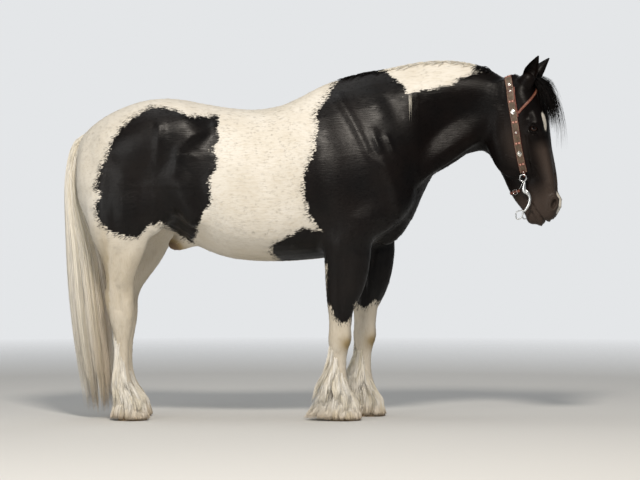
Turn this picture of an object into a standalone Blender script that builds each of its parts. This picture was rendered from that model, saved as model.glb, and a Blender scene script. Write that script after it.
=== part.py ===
"""A standing drum horse, life size: heavy pinto stallion in a bridle, head turned a little to its right.

Metres, +Z up, +X towards the head, +Y to the horse's left. The flesh is lofted from named ribs and muscles,
melted into one closed surface, and parted with thin cuts where a person would name its parts. Mane, forelock,
tail and feather are flat tapered locks that grow from the part that carries them.
"""

import math

import bmesh
import bpy
import numpy as np
import openvdb
from mathutils import Matrix, Vector
from mathutils.bvhtree import BVHTree

# The grid on which the flesh is melted together, and the reach of its distances
CELL = 0.008
REACH = 0.072

# Triangles on the flesh: first all over, which the head keeps, then in all
EVEN_TRIANGLES = 9500
FLESH_TRIANGLES = 3840

# Between touching pieces
GAP = 0.0004

# The neck turns to the right between these two places along the body
BEND_START = 0.45
BEND_END = 0.95
BEND_ANGLE = math.radians(15)

# The head's own frame: poll at the origin, first axis down the head, second towards its face
POLL = (1.012, 1.750)
HEAD_LEAN = math.radians(14.8)

# The left legs stand a little further forward than the right ones
FORE_STEP = 0.13
HIND_STEP = 0.11
HOCK_HEIGHT = 0.58
STIFLE_HEIGHT = 0.86


# Ribs of the trunk and neck from tail to poll:
# top x, top z, bottom x, bottom z, half width, widest place, roundness above, roundness below
TRUNK_RIBS = (
    (-1.215, 1.385, -1.200, 1.160, 0.045, 0.50, 2.0, 2.0),
    (-1.165, 1.462, -1.160, 1.020, 0.150, 0.50, 2.0, 2.0),
    (-1.070, 1.535, -1.060, 0.965, 0.245, 0.55, 2.2, 2.0),
    (-0.950, 1.593, -0.940, 0.955, 0.295, 0.60, 2.3, 2.0),
    (-0.820, 1.627, -0.810, 0.965, 0.312, 0.62, 2.4, 2.0),
    (-0.690, 1.627, -0.690, 0.935, 0.322, 0.58, 2.4, 2.0),
    (-0.560, 1.604, -0.575, 0.868, 0.330, 0.50, 2.3, 2.1),
    (-0.430, 1.584, -0.440, 0.818, 0.348, 0.44, 2.2, 2.2),
    (-0.290, 1.575, -0.300, 0.800, 0.358, 0.42, 2.2, 2.3),
    (-0.160, 1.598, -0.150, 0.798, 0.352, 0.42, 2.1, 2.3),
    (-0.050, 1.648, -0.020, 0.806, 0.330, 0.42, 1.9, 2.3),
    (0.050, 1.700, 0.100, 0.822, 0.305, 0.42, 1.7, 2.3),
    (0.160, 1.735, 0.220, 0.845, 0.285, 0.42, 1.6, 2.3),
    (0.270, 1.762, 0.340, 0.890, 0.265, 0.42, 1.6, 2.3),
    (0.370, 1.778, 0.450, 0.975, 0.235, 0.42, 1.6, 2.2),
    (0.470, 1.800, 0.545, 1.105, 0.195, 0.40, 1.7, 2.1),
    (0.565, 1.815, 0.615, 1.235, 0.150, 0.42, 1.8, 2.0),
    (0.665, 1.820, 0.700, 1.305, 0.120, 0.45, 2.0, 2.0),
    (0.765, 1.812, 0.775, 1.340, 0.105, 0.50, 2.0, 2.0),
    (0.860, 1.790, 0.845, 1.358, 0.100, 0.50, 2.0, 2.0),
    (0.940, 1.755, 0.895, 1.365, 0.098, 0.50, 2.0, 2.0),
    (0.985, 1.715, 0.930, 1.390, 0.080, 0.50, 2.0, 2.0),
)

# Ribs of the head in its own frame: face u, face v, jaw u, jaw v, half width, widest place, roundness
HEAD_RIBS = (
    (0.000, 0.020, 0.050, -0.120, 0.065, 0.55, 2.0, 2.0),
    (0.045, 0.072, 0.120, -0.165, 0.085, 0.55, 2.1, 2.0),
    (0.100, 0.104, 0.190, -0.190, 0.096, 0.58, 2.2, 2.2),
    (0.170, 0.122, 0.270, -0.208, 0.103, 0.60, 2.4, 2.4),
    (0.250, 0.126, 0.350, -0.215, 0.106, 0.66, 2.5, 2.4),
    (0.330, 0.118, 0.420, -0.195, 0.098, 0.68, 2.5, 2.2),
    (0.410, 0.107, 0.490, -0.178, 0.083, 0.66, 2.4, 2.0),
    (0.490, 0.095, 0.560, -0.166, 0.070, 0.62, 2.3, 2.0),
    (0.560, 0.086, 0.620, -0.150, 0.064, 0.58, 2.3, 2.1),
    (0.620, 0.083, 0.675, -0.126, 0.062, 0.55, 2.3, 2.2),
    (0.675, 0.077, 0.720, -0.112, 0.060, 0.55, 2.2, 2.2),
    (0.720, 0.052, 0.748, -0.092, 0.053, 0.55, 2.1, 2.1),
    (0.752, 0.018, 0.765, -0.058, 0.038, 0.50, 2.0, 2.0),
)

# Ribs of the right legs: front x, front z, back x, back z, sideways place, half width
FORE_RIBS = (
    (0.330, 1.200, 0.100, 1.200, 0.140, 0.050),
    (0.335, 1.120, 0.075, 1.120, 0.175, 0.066),
    (0.330, 1.020, 0.060, 1.020, 0.205, 0.080),
    (0.295, 0.920, 0.050, 0.900, 0.212, 0.082),
    (0.277, 0.840, 0.052, 0.830, 0.205, 0.078),
    (0.257, 0.755, 0.056, 0.750, 0.195, 0.070),
    (0.232, 0.670, 0.060, 0.670, 0.185, 0.062),
    (0.211, 0.600, 0.066, 0.600, 0.178, 0.056),
    (0.199, 0.530, 0.074, 0.530, 0.172, 0.052),
    (0.193, 0.470, 0.076, 0.470, 0.168, 0.053),
    (0.192, 0.420, 0.072, 0.410, 0.165, 0.055),
    (0.181, 0.365, 0.078, 0.365, 0.163, 0.048),
    (0.171, 0.320, 0.088, 0.320, 0.161, 0.038),
    (0.169, 0.260, 0.088, 0.260, 0.159, 0.036),
    (0.173, 0.215, 0.078, 0.215, 0.158, 0.043),
    (0.184, 0.175, 0.070, 0.165, 0.157, 0.050),
    (0.196, 0.135, 0.092, 0.115, 0.157, 0.044),
    (0.212, 0.100, 0.098, 0.075, 0.157, 0.052),
    (0.224, 0.070, 0.094, 0.050, 0.157, 0.060),
)
HIND_RIBS = (
    (-0.800, 1.340, -1.080, 1.340, 0.120, 0.060),
    (-0.775, 1.240, -1.120, 1.250, 0.160, 0.090),
    (-0.765, 1.130, -1.140, 1.160, 0.185, 0.105),
    (-0.785, 1.020, -1.140, 1.050, 0.195, 0.106),
    (-0.835, 0.940, -1.120, 0.950, 0.198, 0.095),
    (-0.872, 0.870, -1.090, 0.870, 0.193, 0.080),
    (-0.892, 0.790, -1.060, 0.780, 0.185, 0.068),
    (-0.902, 0.710, -1.048, 0.700, 0.176, 0.056),
    (-0.905, 0.640, -1.047, 0.635, 0.168, 0.050),
    (-0.903, 0.575, -1.043, 0.585, 0.162, 0.053),
    (-0.905, 0.510, -1.033, 0.510, 0.158, 0.054),
    (-0.917, 0.440, -1.014, 0.440, 0.155, 0.047),
    (-0.928, 0.370, -1.003, 0.370, 0.153, 0.037),
    (-0.930, 0.280, -1.001, 0.280, 0.152, 0.036),
    (-0.922, 0.225, -1.006, 0.225, 0.152, 0.043),
    (-0.908, 0.180, -1.010, 0.170, 0.152, 0.051),
    (-0.890, 0.135, -0.990, 0.115, 0.152, 0.045),
    (-0.868, 0.100, -0.978, 0.075, 0.152, 0.053),
    (-0.855, 0.070, -0.980, 0.050, 0.152, 0.060),
)

# Muscles and bones that show through the skin, as long rounded masses on the left side:
# start, end, half width, half thickness, blend
BODY_MUSCLES = {
    "shoulder_blade": ((0.160, 0.110, 1.560), (0.430, 0.195, 1.120), 0.085, 0.050, 0.08),
    "triceps": ((0.040, 0.190, 1.320), (0.150, 0.222, 0.930), 0.120, 0.062, 0.06),
    "upper_arm": ((0.460, 0.165, 1.130), (0.200, 0.215, 0.940), 0.090, 0.065, 0.06),
    "breast": ((0.490, 0.075, 1.170), (0.370, 0.085, 0.920), 0.075, 0.062, 0.05),
    "neck_side": ((0.880, 0.062, 1.500), (0.480, 0.155, 1.230), 0.070, 0.042, 0.06),
    "crest": ((0.860, 0.030, 1.680), (0.400, 0.070, 1.620), 0.090, 0.070, 0.06),
    "croup_muscle": ((-0.620, 0.170, 1.480), (-1.040, 0.150, 1.330), 0.140, 0.125, 0.07),
    "thigh_front": ((-0.730, 0.205, 1.330), (-0.820, 0.220, 0.980), 0.100, 0.078, 0.06),
    "thigh_back": ((-0.990, 0.150, 1.400), (-1.030, 0.190, 0.930), 0.120, 0.100, 0.06),
    "buttock": ((-1.120, 0.100, 1.370), (-1.125, 0.135, 1.060), 0.075, 0.080, 0.05),
    "point_of_hip": ((-0.670, 0.240, 1.480), (-0.600, 0.255, 1.430), 0.060, 0.045, 0.07),
    "flank": ((-0.700, 0.250, 1.250), (-0.600, 0.270, 1.020), 0.060, 0.060, 0.08),
    "sheath": ((-0.600, 0.004, 0.925), (-0.715, 0.004, 0.885), 0.036, 0.036, 0.04),
}
FOREARM_MUSCLE = ((0.245, 0.212, 0.880), (0.185, 0.195, 0.600), 0.060, 0.048, 0.04)
GASKIN_MUSCLE = ((-0.860, 0.212, 0.960), (-0.995, 0.182, 0.680), 0.060, 0.044, 0.04)
HOCK_POINT = ((-1.036, 0.160, 0.650), (-1.020, 0.158, 0.560), 0.024, 0.024, 0.03)
KNEE_BONE = ((0.160, 0.167, 0.450), (0.158, 0.165, 0.385), 0.030, 0.044, 0.02)

# The same in the head's own frame: u, sideways, v
HEAD_MASSES = {
    "jowl": ((0.220, 0.070, -0.095), (0.460, 0.064, -0.110), 0.098, 0.036, 0.03),
    "brow": ((0.245, 0.080, 0.074), (0.312, 0.080, 0.082), 0.024, 0.024, 0.03),
    "ear_base": ((0.080, 0.050, 0.060), (0.040, 0.056, 0.096), 0.044, 0.036, 0.03),
    "temple": ((0.100, 0.070, 0.030), (0.240, 0.080, 0.040), 0.040, 0.030, 0.04),
    "cheek_bone": ((0.340, 0.080, 0.016), (0.500, 0.056, 0.004), 0.016, 0.016, 0.03),
    "lower_eye_rim": ((0.305, 0.086, 0.026), (0.345, 0.080, 0.050), 0.014, 0.016, 0.03),
    "nose_side": ((0.420, 0.040, 0.070), (0.620, 0.040, 0.060), 0.026, 0.022, 0.03),
    "nostril_wing": ((0.655, 0.038, 0.060), (0.722, 0.036, 0.036), 0.026, 0.022, 0.03),
    "upper_lip": ((0.705, 0.000, 0.030), (0.752, 0.000, 0.004), 0.032, 0.042, 0.03),
    "lower_lip": ((0.740, 0.000, -0.052), (0.772, 0.000, -0.036), 0.022, 0.036, 0.02),
    "chin": ((0.722, 0.000, -0.080), (0.748, 0.000, -0.078), 0.028, 0.030, 0.02),
}


# Thin cuts that part the flesh, each a line in the side view:
# start x, start z, end x, end z, lowest y, highest y, turn about the upright axis
NECK_CUT = (0.215, 1.880, 0.560, 1.010, -0.450, 0.450, 0.0)
HEAD_CUT = (0.958, 1.900, 0.829, 1.300, -0.400, 0.250, -13.0)
HEAD_SIDE = 0.30
ELBOW_CUT = (-0.060, 0.792, 0.560, 0.792, -0.450, 0.450, 0.0)
KNEE_CUT = (-0.050, 0.372, 0.450, 0.372, -0.350, 0.350, 0.0)
STIFLE_CUTS = (
    (-1.300, 0.900, -0.680, 0.900, 0.035, 0.450, 0.0),
    (-1.300, 0.900, -0.680, 0.900, -0.450, -0.035, 0.0),
)
HOCK_CUT = (-1.150, 0.500, -0.800, 0.500, -0.350, 0.350, 0.0)

# Right hooves: toe, heel and coronet in the side view, sideways place, half widths at ground and coronet
FORE_HOOF = {
    "toe": (0.240, 0.0), "heel": (0.076, 0.0), "front": (0.214, 0.088), "back": (0.096, 0.050),
    "y": 0.157, "ground": 0.078, "coronet": 0.060,
}
HIND_HOOF = {
    "toe": (-0.838, 0.0), "heel": (-0.990, 0.0), "front": (-0.862, 0.088), "back": (-0.978, 0.050),
    "y": 0.152, "ground": 0.073, "coronet": 0.057,
}

# Ears in the head's own frame (u, sideways, v): root and tip, and the half widths along the ear
EAR_ROOT = (0.060, 0.054, 0.080)
EAR_TIP = (-0.046, 0.080, 0.172)
FAR_EAR_TIP = (-0.034, 0.072, 0.196)
EAR_WIDTHS = (
    (0.0, 0.030), (0.18, 0.036), (0.38, 0.037), (0.60, 0.028), (0.80, 0.016), (0.93, 0.008), (1.0, 0.003),
)
EAR_WALL = 0.006

# Eyes: centre in the head's own frame, radius, and the opening between the lids
EYE_PLACE = (0.304, 0.0885, 0.056)
EYE_RADIUS = 0.024
LID_THICKNESS = 0.0045
EYE_OPENING = (0.023, 0.0145)
EYE_TILT = math.radians(-28)

# Nostrils and mouth in the head's own frame
NOSTRIL = ((0.672, 0.060, 0.068), (0.716, 0.054, 0.040), 0.011, 0.026)
MOUTH_LINE = ((0.588, -0.078), (0.640, -0.064), (0.700, -0.044), (0.745, -0.026), (0.775, -0.014))
MOUTH_DEPTH = 0.007
MOUTH_OPEN = 0.0035

# Tail: dock and hair along one curve, (x, z, half width along, half width across)
DOCK = ((-1.120, 1.440, 0.045), (-1.180, 1.425, 0.042), (-1.222, 1.370, 0.036), (-1.238, 1.290, 0.031),
        (-1.240, 1.200, 0.026), (-1.232, 1.090, 0.018))
CLEFT = ((-1.245, 0.0, 1.330), (-1.215, 0.0, 1.020), 0.075, 0.055, 0.03)
TAIL_COURSE = (
    (-1.222, 1.370, 0.030, 0.034),
    (-1.230, 1.220, 0.040, 0.046),
    (-1.214, 1.050, 0.056, 0.060),
    (-1.173, 0.860, 0.092, 0.070),
    (-1.148, 0.640, 0.104, 0.074),
    (-1.120, 0.400, 0.106, 0.072),
    (-1.092, 0.180, 0.100, 0.070),
    (-1.076, 0.006, 0.088, 0.068),
)
# Layers of tail locks: how many, where they start, share of the width, width of a lock
TAIL_LAYERS = ((8, 0.03, 0.96, 0.068), (7, 0.10, 0.72, 0.058), (3, 0.46, 0.36, 0.056))
TAIL_STEPS = 6
# The core's share of the hair's width and where along it, and the shares that the rump and the legs leave free
TAIL_CORE = (0.56, 0.10, 0.50)
RUMP_ROOM = 1.30
LEG_ROOM = 1.08

# Mane along the crest, forelock between the ears, feather round each foot
MANE_LOCKS = 20
MANE_LENGTH = 0.36
# Forelock: its course down the head (u, v, share of the spread to the sides), rows of height and count
FORELOCK_COURSE = (
    (0.040, 0.070, 0.0), (0.075, 0.142, 0.30), (0.160, 0.196, 0.75), (0.255, 0.186, 1.0), (0.335, 0.150, 1.1),
)
FORELOCK_ROWS = ((1.0, 5), (0.72, 4))
FORELOCK_SPREAD = (-0.022, 0.088)
FEATHER_RING = 10
FEATHER_BACK = 3
FLOOR_CLEARANCE = 0.004

# Bridle: the cheek strap's places (u, v) down the head, widths and thickness of the leather
CHEEK_PLACES = ((0.075, -0.010), (0.134, -0.017), (0.226, -0.024), (0.300, -0.032), (0.363, -0.040),
                (0.440, -0.047), (0.500, -0.052))
CROWN_CENTRE = (0.085, -0.011)
STRAP_WIDTH = 0.038
STRAP_THICKNESS = 0.005
THIN_STRAP = 0.004
STRAP_LIFT = 0.0025
BROWBAND_WIDTH = 0.016
BROWBAND_SIDE = (0.208, 0.004)
BROWBAND_FRONT = (0.108, 0.030)
BIT_SIDE = 0.084
BIT_RING = (0.529, -0.060)
BIT_SHANK = (
    (0.553, -0.058), (0.572, -0.066), (0.592, -0.070), (0.610, -0.056), (0.634, -0.052), (0.660, -0.062),
    (0.680, -0.080), (0.694, -0.098),
)
BIT_LOOP = (0.702, -0.122)
CURB_CENTRE = (0.585, -0.085)
CURB_WIDTH = 0.014

COATS = {
    "black": ((0.012, 0.010, 0.010), 0.42),
    "white": ((0.80, 0.77, 0.71), 0.60),
    "cream": ((0.74, 0.70, 0.58), 0.60),
    "horn": ((0.46, 0.38, 0.30), 0.45),
    "eye": ((0.020, 0.010, 0.006), 0.08),
    "leather": ((0.22, 0.075, 0.040), 0.50),
    "steel": ((0.62, 0.61, 0.59), 0.28),
}


def smooth_rows(rows, steps):
    """The rows resampled on a smooth curve through them, this many steps to each span."""
    p = np.asarray(rows, float)
    p = np.vstack([2 * p[0] - p[1], p, 2 * p[-1] - p[-2]])
    out = []
    for a, b, c, d in zip(p, p[1:], p[2:], p[3:]):
        for t in np.arange(steps) / steps:
            cubic = 3 * b - a - 3 * c + d
            out.append(0.5 * (2 * b + (c - a) * t + (2 * a - 5 * b + 4 * c - d) * t**2 + cubic * t**3))
    return np.array(out + [p[-2]])


def ring(top, bottom, y, width, widest, round_top, round_bottom, around):
    """One closed cross-section, from its top and bottom points in the side view."""
    angle = np.linspace(0, 2 * math.pi, around, endpoint=False)
    across, along = np.cos(angle), np.sin(angle)
    power = np.where(along >= 0, 2 / round_top, 2 / round_bottom)
    across = np.sign(across) * np.abs(across) ** power
    rise = np.abs(along) ** power
    middle = bottom + (top - bottom) * widest
    end = np.where(along[:, None] >= 0, top, bottom)
    flat = middle + (end - middle) * rise[:, None]
    return np.column_stack([flat[:, 0], y + width * across, flat[:, 1]])


def tube(rings):
    """(points, quads, triangles) of the closed surface through equal rings."""
    count, around = len(rings), len(rings[0])
    points = np.vstack([*rings, rings[0].mean(0), rings[-1].mean(0)])
    i, j = np.meshgrid(np.arange(count - 1), np.arange(around), indexing="ij")
    a = i * around + j
    b = i * around + (j + 1) % around
    quads = np.stack([a, b, b + around, a + around], -1).reshape(-1, 4)
    j = np.arange(around)
    k = (j + 1) % around
    last = (count - 1) * around
    start = np.column_stack([k, j, np.full(around, count * around)])
    finish = np.column_stack([last + j, last + k, np.full(around, count * around + 1)])
    return points, quads, np.vstack([start, finish])


def trunk_rings():
    rows = smooth_rows(TRUNK_RIBS, 3)
    return [ring(r[0:2], r[2:4], 0, r[4], r[5], r[6], r[7], 40) for r in rows]


def head_point(u, v, y=0.0):
    """A place in the head's own frame, before the neck is turned."""
    lean = (math.sin(HEAD_LEAN), math.cos(HEAD_LEAN))
    return np.array([POLL[0] + u * lean[0] + v * lean[1], y, POLL[1] - u * lean[1] + v * lean[0]])


def head_rings():
    rings = []
    for r in smooth_rows(HEAD_RIBS, 3):
        top, bottom = head_point(r[0], r[1])[[0, 2]], head_point(r[2], r[3])[[0, 2]]
        rings.append(ring(top, bottom, 0, r[4], r[5], r[6], r[7], 32))
    return rings


def step_of(z, left, hind):
    """How far forward of the right one a left leg stands at this height."""
    if not left:
        return 0.0
    if not hind:
        return FORE_STEP
    rise = min(1.0, max(0.0, (z - HOCK_HEIGHT) / (STIFLE_HEIGHT - HOCK_HEIGHT)))
    return HIND_STEP * rise * rise * (3 - 2 * rise)


def leg_rings(ribs, left, hind):
    rings = []
    for fx, fz, bx, bz, y, width in smooth_rows(ribs, 3):
        front = np.array([fx + step_of(fz, left, hind), fz])
        back = np.array([bx + step_of(bz, left, hind), bz])
        rings.append(ring(front, back, y if left else -y, width, 0.5, 2.1, 2.1, 20))
    return rings


def mass(start, end, width, thickness, around=20, up=12):
    """(points, quads, triangles) of a long rounded mass from start to end, flattened sideways."""
    start, end = Vector(start), Vector(end)
    along = (end - start).normalized()
    across = along.cross(Vector((0, 1, 0))).normalized()
    out = across.cross(along)
    turn = Matrix((across, out, along))
    half = (end - start).length / 2 + width * 0.5
    rows = np.linspace(-math.pi / 2, math.pi / 2, up + 1)[1:-1]
    angle = np.linspace(0, 2 * math.pi, around, endpoint=False)
    rings = []
    for row in rows:
        flat = math.cos(row)
        height = np.full(around, math.sin(row))
        rings.append(np.column_stack([flat * np.cos(angle), flat * np.sin(angle), height]))
    points, quads, triangles = tube(rings)
    points[-2:] = ((0, 0, -1), (0, 0, 1))
    points = points * np.array((width, thickness, half)) @ np.array(turn)
    return points + np.array((start + end) / 2), quads, triangles


def bend(points):
    """Turns the neck and head to the right about upright axes, a little more at each place along the neck."""
    p = np.array(points, float)
    length = BEND_END - BEND_START
    radius = length / BEND_ANGLE
    along = np.clip(p[:, 0] - BEND_START, 0, length)
    turn = along / radius
    beyond = p[:, 0] - BEND_START - along
    x = BEND_START + (radius + p[:, 1]) * np.sin(turn) + beyond * np.cos(turn)
    y = -radius + (radius + p[:, 1]) * np.cos(turn) - beyond * np.sin(turn)
    return np.column_stack([x, y, p[:, 2]])


class Flesh:
    """A grid of signed distances, in which rounded forms melt together."""

    def __init__(self, low, high, cell, reach):
        self.cell = cell
        self.reach = reach
        self.low = np.floor(np.array(low) / cell).astype(int)
        shape = np.ceil(np.array(high) / cell).astype(int) - self.low
        self.field = np.full(shape, reach, np.float32)

    def distances(self, form):
        """The form's distances, and the part of the grid that they cover."""
        points, quads, triangles = form
        grid = openvdb.FloatGrid.createLevelSetFromPolygons(
            np.ascontiguousarray(points, np.float32),
            triangles=np.ascontiguousarray(triangles, np.uint32),
            quads=np.ascontiguousarray(quads, np.uint32),
            transform=openvdb.createLinearTransform(self.cell),
            halfWidth=self.reach / self.cell,
        )
        margin = self.reach / self.cell + 1
        first = np.floor(points.min(0) / self.cell - margin).astype(int)
        last = np.ceil(points.max(0) / self.cell + margin).astype(int)
        first = np.maximum(first, self.low)
        last = np.minimum(last, self.low + self.field.shape)
        values = np.empty(last - first, np.float32)
        grid.copyToArray(values, ijk=tuple(int(i) for i in first))
        place = tuple(slice(a, b) for a, b in zip(first - self.low, last - self.low))
        return values, place

    def add(self, form, blend):
        values, place = self.distances(form)
        here = self.field[place]
        share = np.clip(0.5 + 0.5 * (values - here) / blend, 0, 1)
        self.field[place] = values * (1 - share) + here * share - blend * share * (1 - share)

    def carve(self, form, blend):
        values, place = self.distances(form)
        here = self.field[place]
        share = np.clip(0.5 - 0.5 * (values + here) / blend, 0, 1)
        self.field[place] = here * (1 - share) - values * share + blend * share * (1 - share)

    def surface(self):
        """(points, quads) of the melted surface."""
        grid = openvdb.FloatGrid(self.reach)
        grid.copyFromArray(self.field, ijk=tuple(int(i) for i in self.low))
        grid.transform = openvdb.createLinearTransform(self.cell)
        return grid.convertToQuads(isovalue=0.0)


def mirrored(place, left, forward=0.0):
    """The place on the asked side, moved forward by this much."""
    return place[0] + forward, place[1] if left else -place[1], place[2]


def bent(form):
    points, quads, triangles = form
    return bend(points), quads, triangles


def flesh_surface(cell, reach):
    """The whole skin as one melted surface."""
    flesh = Flesh((-1.40, -0.50, -0.05), (1.45, 0.50, 1.95), cell, reach)
    flesh.add(bent(tube(trunk_rings())), 0.02)
    for left in (False, True):
        for start, end, width, thickness, blend in BODY_MUSCLES.values():
            flesh.add(bent(mass(mirrored(start, left), mirrored(end, left), width, thickness)), blend)
        for ribs, hind, muscles in (
            (FORE_RIBS, False, (FOREARM_MUSCLE, KNEE_BONE)),
            (HIND_RIBS, True, (GASKIN_MUSCLE, HOCK_POINT)),
        ):
            flesh.add(tube(leg_rings(ribs, left, hind)), 0.05)
            for start, end, width, thickness, blend in muscles:
                near = mirrored(start, left, step_of(start[2], left, hind))
                far = mirrored(end, left, step_of(end[2], left, hind))
                flesh.add(mass(near, far, width, thickness), blend)
    flesh.carve(mass(*CLEFT[:4]), CLEFT[4])
    flesh.add(bent(tube(head_rings())), 0.05)
    for left in (False, True):
        for start, end, width, thickness, blend in HEAD_MASSES.values():
            near, far = (head_point(p[0], p[2], p[1] if left else -p[1]) for p in (start, end))
            flesh.add(bent(mass(near, far, width, thickness)), blend)
    return flesh.surface()


def head_place(place, left):
    """A place (u, sideways, v) of the head's own frame on the modelled horse."""
    u, y, v = place
    return Vector(bend([head_point(u, v, y if left else -y)])[0])


def make_object(name, points, faces):
    mesh = bpy.data.meshes.new(name)
    mesh.from_pydata([tuple(p) for p in points], [], [tuple(f) for f in faces])
    mesh.update()
    obj = bpy.data.objects.new(name, mesh)
    bpy.context.scene.collection.objects.link(obj)
    return obj


def closed_object(name, points, quads, triangles):
    """An object of triangles only, split alike on a piece and on the larger copy that makes room for it."""
    faces = [*quads[:, [0, 1, 2]].tolist(), *quads[:, [0, 2, 3]].tolist(), *triangles.tolist()]
    obj = make_object(name, points, faces)
    face_out(obj.data)
    return obj


def make_tube(name, rings):
    """A closed object through equal rings."""
    return closed_object(name, *tube(rings))


def face_out(mesh):
    shape = bmesh.new()
    shape.from_mesh(mesh)
    bmesh.ops.recalc_face_normals(shape, faces=shape.faces)
    if shape.calc_volume(signed=True) < 0:
        bmesh.ops.reverse_faces(shape, faces=shape.faces)
    shape.to_mesh(mesh)
    shape.free()


def applied(obj):
    """Replaces the object's mesh by what its modifiers make of it."""
    seen = obj.evaluated_get(bpy.context.evaluated_depsgraph_get())
    mesh = bpy.data.meshes.new_from_object(seen)
    obj.modifiers.clear()
    obj.data = mesh


def boolean(obj, pieces, operation):
    """One Boolean of the object with a collection of closed pieces, which are then removed.

    The manifold solver does it, because the exact one leaves open edges on the head.
    """
    group = bpy.data.collections.new("pieces")
    bpy.context.scene.collection.children.link(group)
    for piece in pieces:
        bpy.context.scene.collection.objects.unlink(piece)
        group.objects.link(piece)
    cut = obj.modifiers.new("fuse", "BOOLEAN")
    cut.operation = operation
    cut.operand_type = "COLLECTION"
    cut.collection = group
    cut.solver = "MANIFOLD"
    applied(obj)
    for piece in pieces:
        bpy.data.objects.remove(piece)
    bpy.data.collections.remove(group)


def thin_out(obj, triangles, kept=None):
    """Thins the mesh to about this many triangles, none of them taken from the kept region."""
    thin = obj.modifiers.new("thin", "DECIMATE")
    thin.ratio = triangles / sum(len(f.vertices) - 2 for f in obj.data.polygons)
    if kept is not None:
        group = obj.vertex_groups.new(name="open")
        group.add([v.index for v in obj.data.vertices if not kept(v.co)], 1.0, "REPLACE")
        thin.vertex_group = "open"
    applied(obj)


def shells(mesh):
    """The mesh's separate closed surfaces, as (points, faces), the largest first."""
    owner = np.arange(len(mesh.vertices))

    def root(i):
        while owner[i] != i:
            owner[i] = owner[owner[i]]
            i = owner[i]
        return i

    for edge in mesh.edges:
        a, b = root(edge.vertices[0]), root(edge.vertices[1])
        owner[a] = b
    groups = {}
    for face in mesh.polygons:
        groups.setdefault(root(face.vertices[0]), []).append(tuple(face.vertices))
    points = np.array([v.co for v in mesh.vertices])
    found = []
    for faces in groups.values():
        used = sorted({i for f in faces for i in f})
        new = {old: i for i, old in enumerate(used)}
        found.append((points[used], [tuple(new[i] for i in f) for f in faces]))
    return sorted(found, key=lambda shell: -len(shell[0]))


def tidy_shell(obj):
    """Keeps the largest closed surface, in triangles, without slivers."""
    points, faces = shells(obj.data)[0]
    mesh = bpy.data.meshes.new(obj.name)
    mesh.from_pydata(points.tolist(), [], faces)
    shape = bmesh.new()
    shape.from_mesh(mesh)
    bmesh.ops.triangulate(shape, faces=shape.faces)
    shape.to_mesh(mesh)
    shape.free()
    obj.data = mesh


def slab(cut, thickness=GAP, ahead=0.0):
    """An upright plate whose side view is the cut's line, or one that lies this far ahead of it."""
    x0, z0, x1, z1, y0, y1, turn = cut
    along = Vector((x1 - x0, 0, z1 - z0))
    middle = Vector(((x0 + x1) / 2, (y0 + y1) / 2, (z0 + z1) / 2))
    obj = box_object("slab", (along.length, y1 - y0, thickness))
    obj.data.transform(Matrix.Translation((0, 0, ahead)))
    tilt = Matrix.Rotation(-math.atan2(along.z, along.x), 3, "Y")
    place_mesh(obj, Matrix.Rotation(math.radians(turn), 3, "Z") @ tilt, middle)
    return obj


def box_object(name, size):
    x, y, z = (s / 2 for s in size)
    points = [(a, b, c) for a in (-x, x) for b in (-y, y) for c in (-z, z)]
    faces = [(0, 1, 3, 2), (4, 6, 7, 5), (0, 4, 5, 1), (2, 3, 7, 6), (0, 2, 6, 4), (1, 5, 7, 3)]
    obj = make_object(name, points, faces)
    face_out(obj.data)
    return obj


def place_mesh(obj, turn, place):
    obj.data.transform(Matrix.Translation(place) @ turn.to_4x4())


def flesh_object(points, quads):
    """The flesh in few triangles, with a finer head."""
    obj = make_object("flesh", points, quads)
    thin_out(obj, EVEN_TRIANGLES)
    thin_out(obj, FLESH_TRIANGLES, lambda p: p.x > 0.90 and p.z > 1.2)
    return obj


def part_flesh(flesh):
    """Cuts the flesh with thin slabs, and returns the parts by name."""
    cuts = [NECK_CUT, HEAD_CUT, ELBOW_CUT, KNEE_CUT, *STIFLE_CUTS, HOCK_CUT, *coronet_cuts()]
    boolean(flesh, [slab(cut) for cut in cuts], "DIFFERENCE")
    parts = {}
    for points, faces in shells(flesh.data):
        name = flesh_name(points.mean(0), points.min(0))
        if name and name not in parts:
            parts[name] = make_object(name, points, faces)
    bpy.data.objects.remove(flesh)
    return parts


def coronet_cuts():
    cuts = []
    for left in (False, True):
        for hoof, step in ((FORE_HOOF, FORE_STEP), (HIND_HOOF, 0.0)):
            forward = step if left else 0.0
            (fx, fz), (bx, bz) = hoof["front"], hoof["back"]
            slope = (fz - bz) / (fx - bx)
            reach = 0.06
            y = hoof["y"] if left else -hoof["y"]
            cuts.append((bx - reach + forward, bz - slope * reach, fx + reach + forward, fz + slope * reach,
                         y - 0.11, y + 0.11, 0.0))
    return cuts


def flesh_name(middle, lowest):
    """The name of a part of the flesh, from where it lies."""
    side = "left" if middle[1] > 0 else "right"
    if middle[2] > 1.0:
        return "head" if middle[0] > 0.90 else "neck" if middle[0] > 0.50 else "torso"
    if middle[2] < 0.06:
        return None
    leg = "foreleg" if middle[0] > -0.3 else "hindleg"
    return f"{leg}_{side}" if lowest[2] > 0.3 else f"lower_{leg}_{side}"


def hoof_object(name, hoof, left, forward, grow=0.0):
    """A horn capsule: flat ground ring, and a coronet that slopes down to the heel."""
    y = hoof["y"] if left else -hoof["y"]
    rings = []
    for t in (0.0, 0.12, 1.0):
        ground, top = np.array(hoof["toe"]), np.array(hoof["front"])
        front = ground + (top - ground) * t
        ground, top = np.array(hoof["heel"]), np.array(hoof["back"])
        back = ground + (top - ground) * t
        width = hoof["ground"] + (hoof["coronet"] - hoof["ground"]) * t + grow
        front[0] += forward + grow
        back[0] += forward - grow
        lift = -GAP * t + (grow if t == 1.0 else -grow if t == 0.0 else 0.0)
        front[1] += lift
        back[1] += lift
        rings.append(ring(front, back, y, width, 0.44, 2.2, 2.6, 20))
    return make_tube(name, rings)


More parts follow.
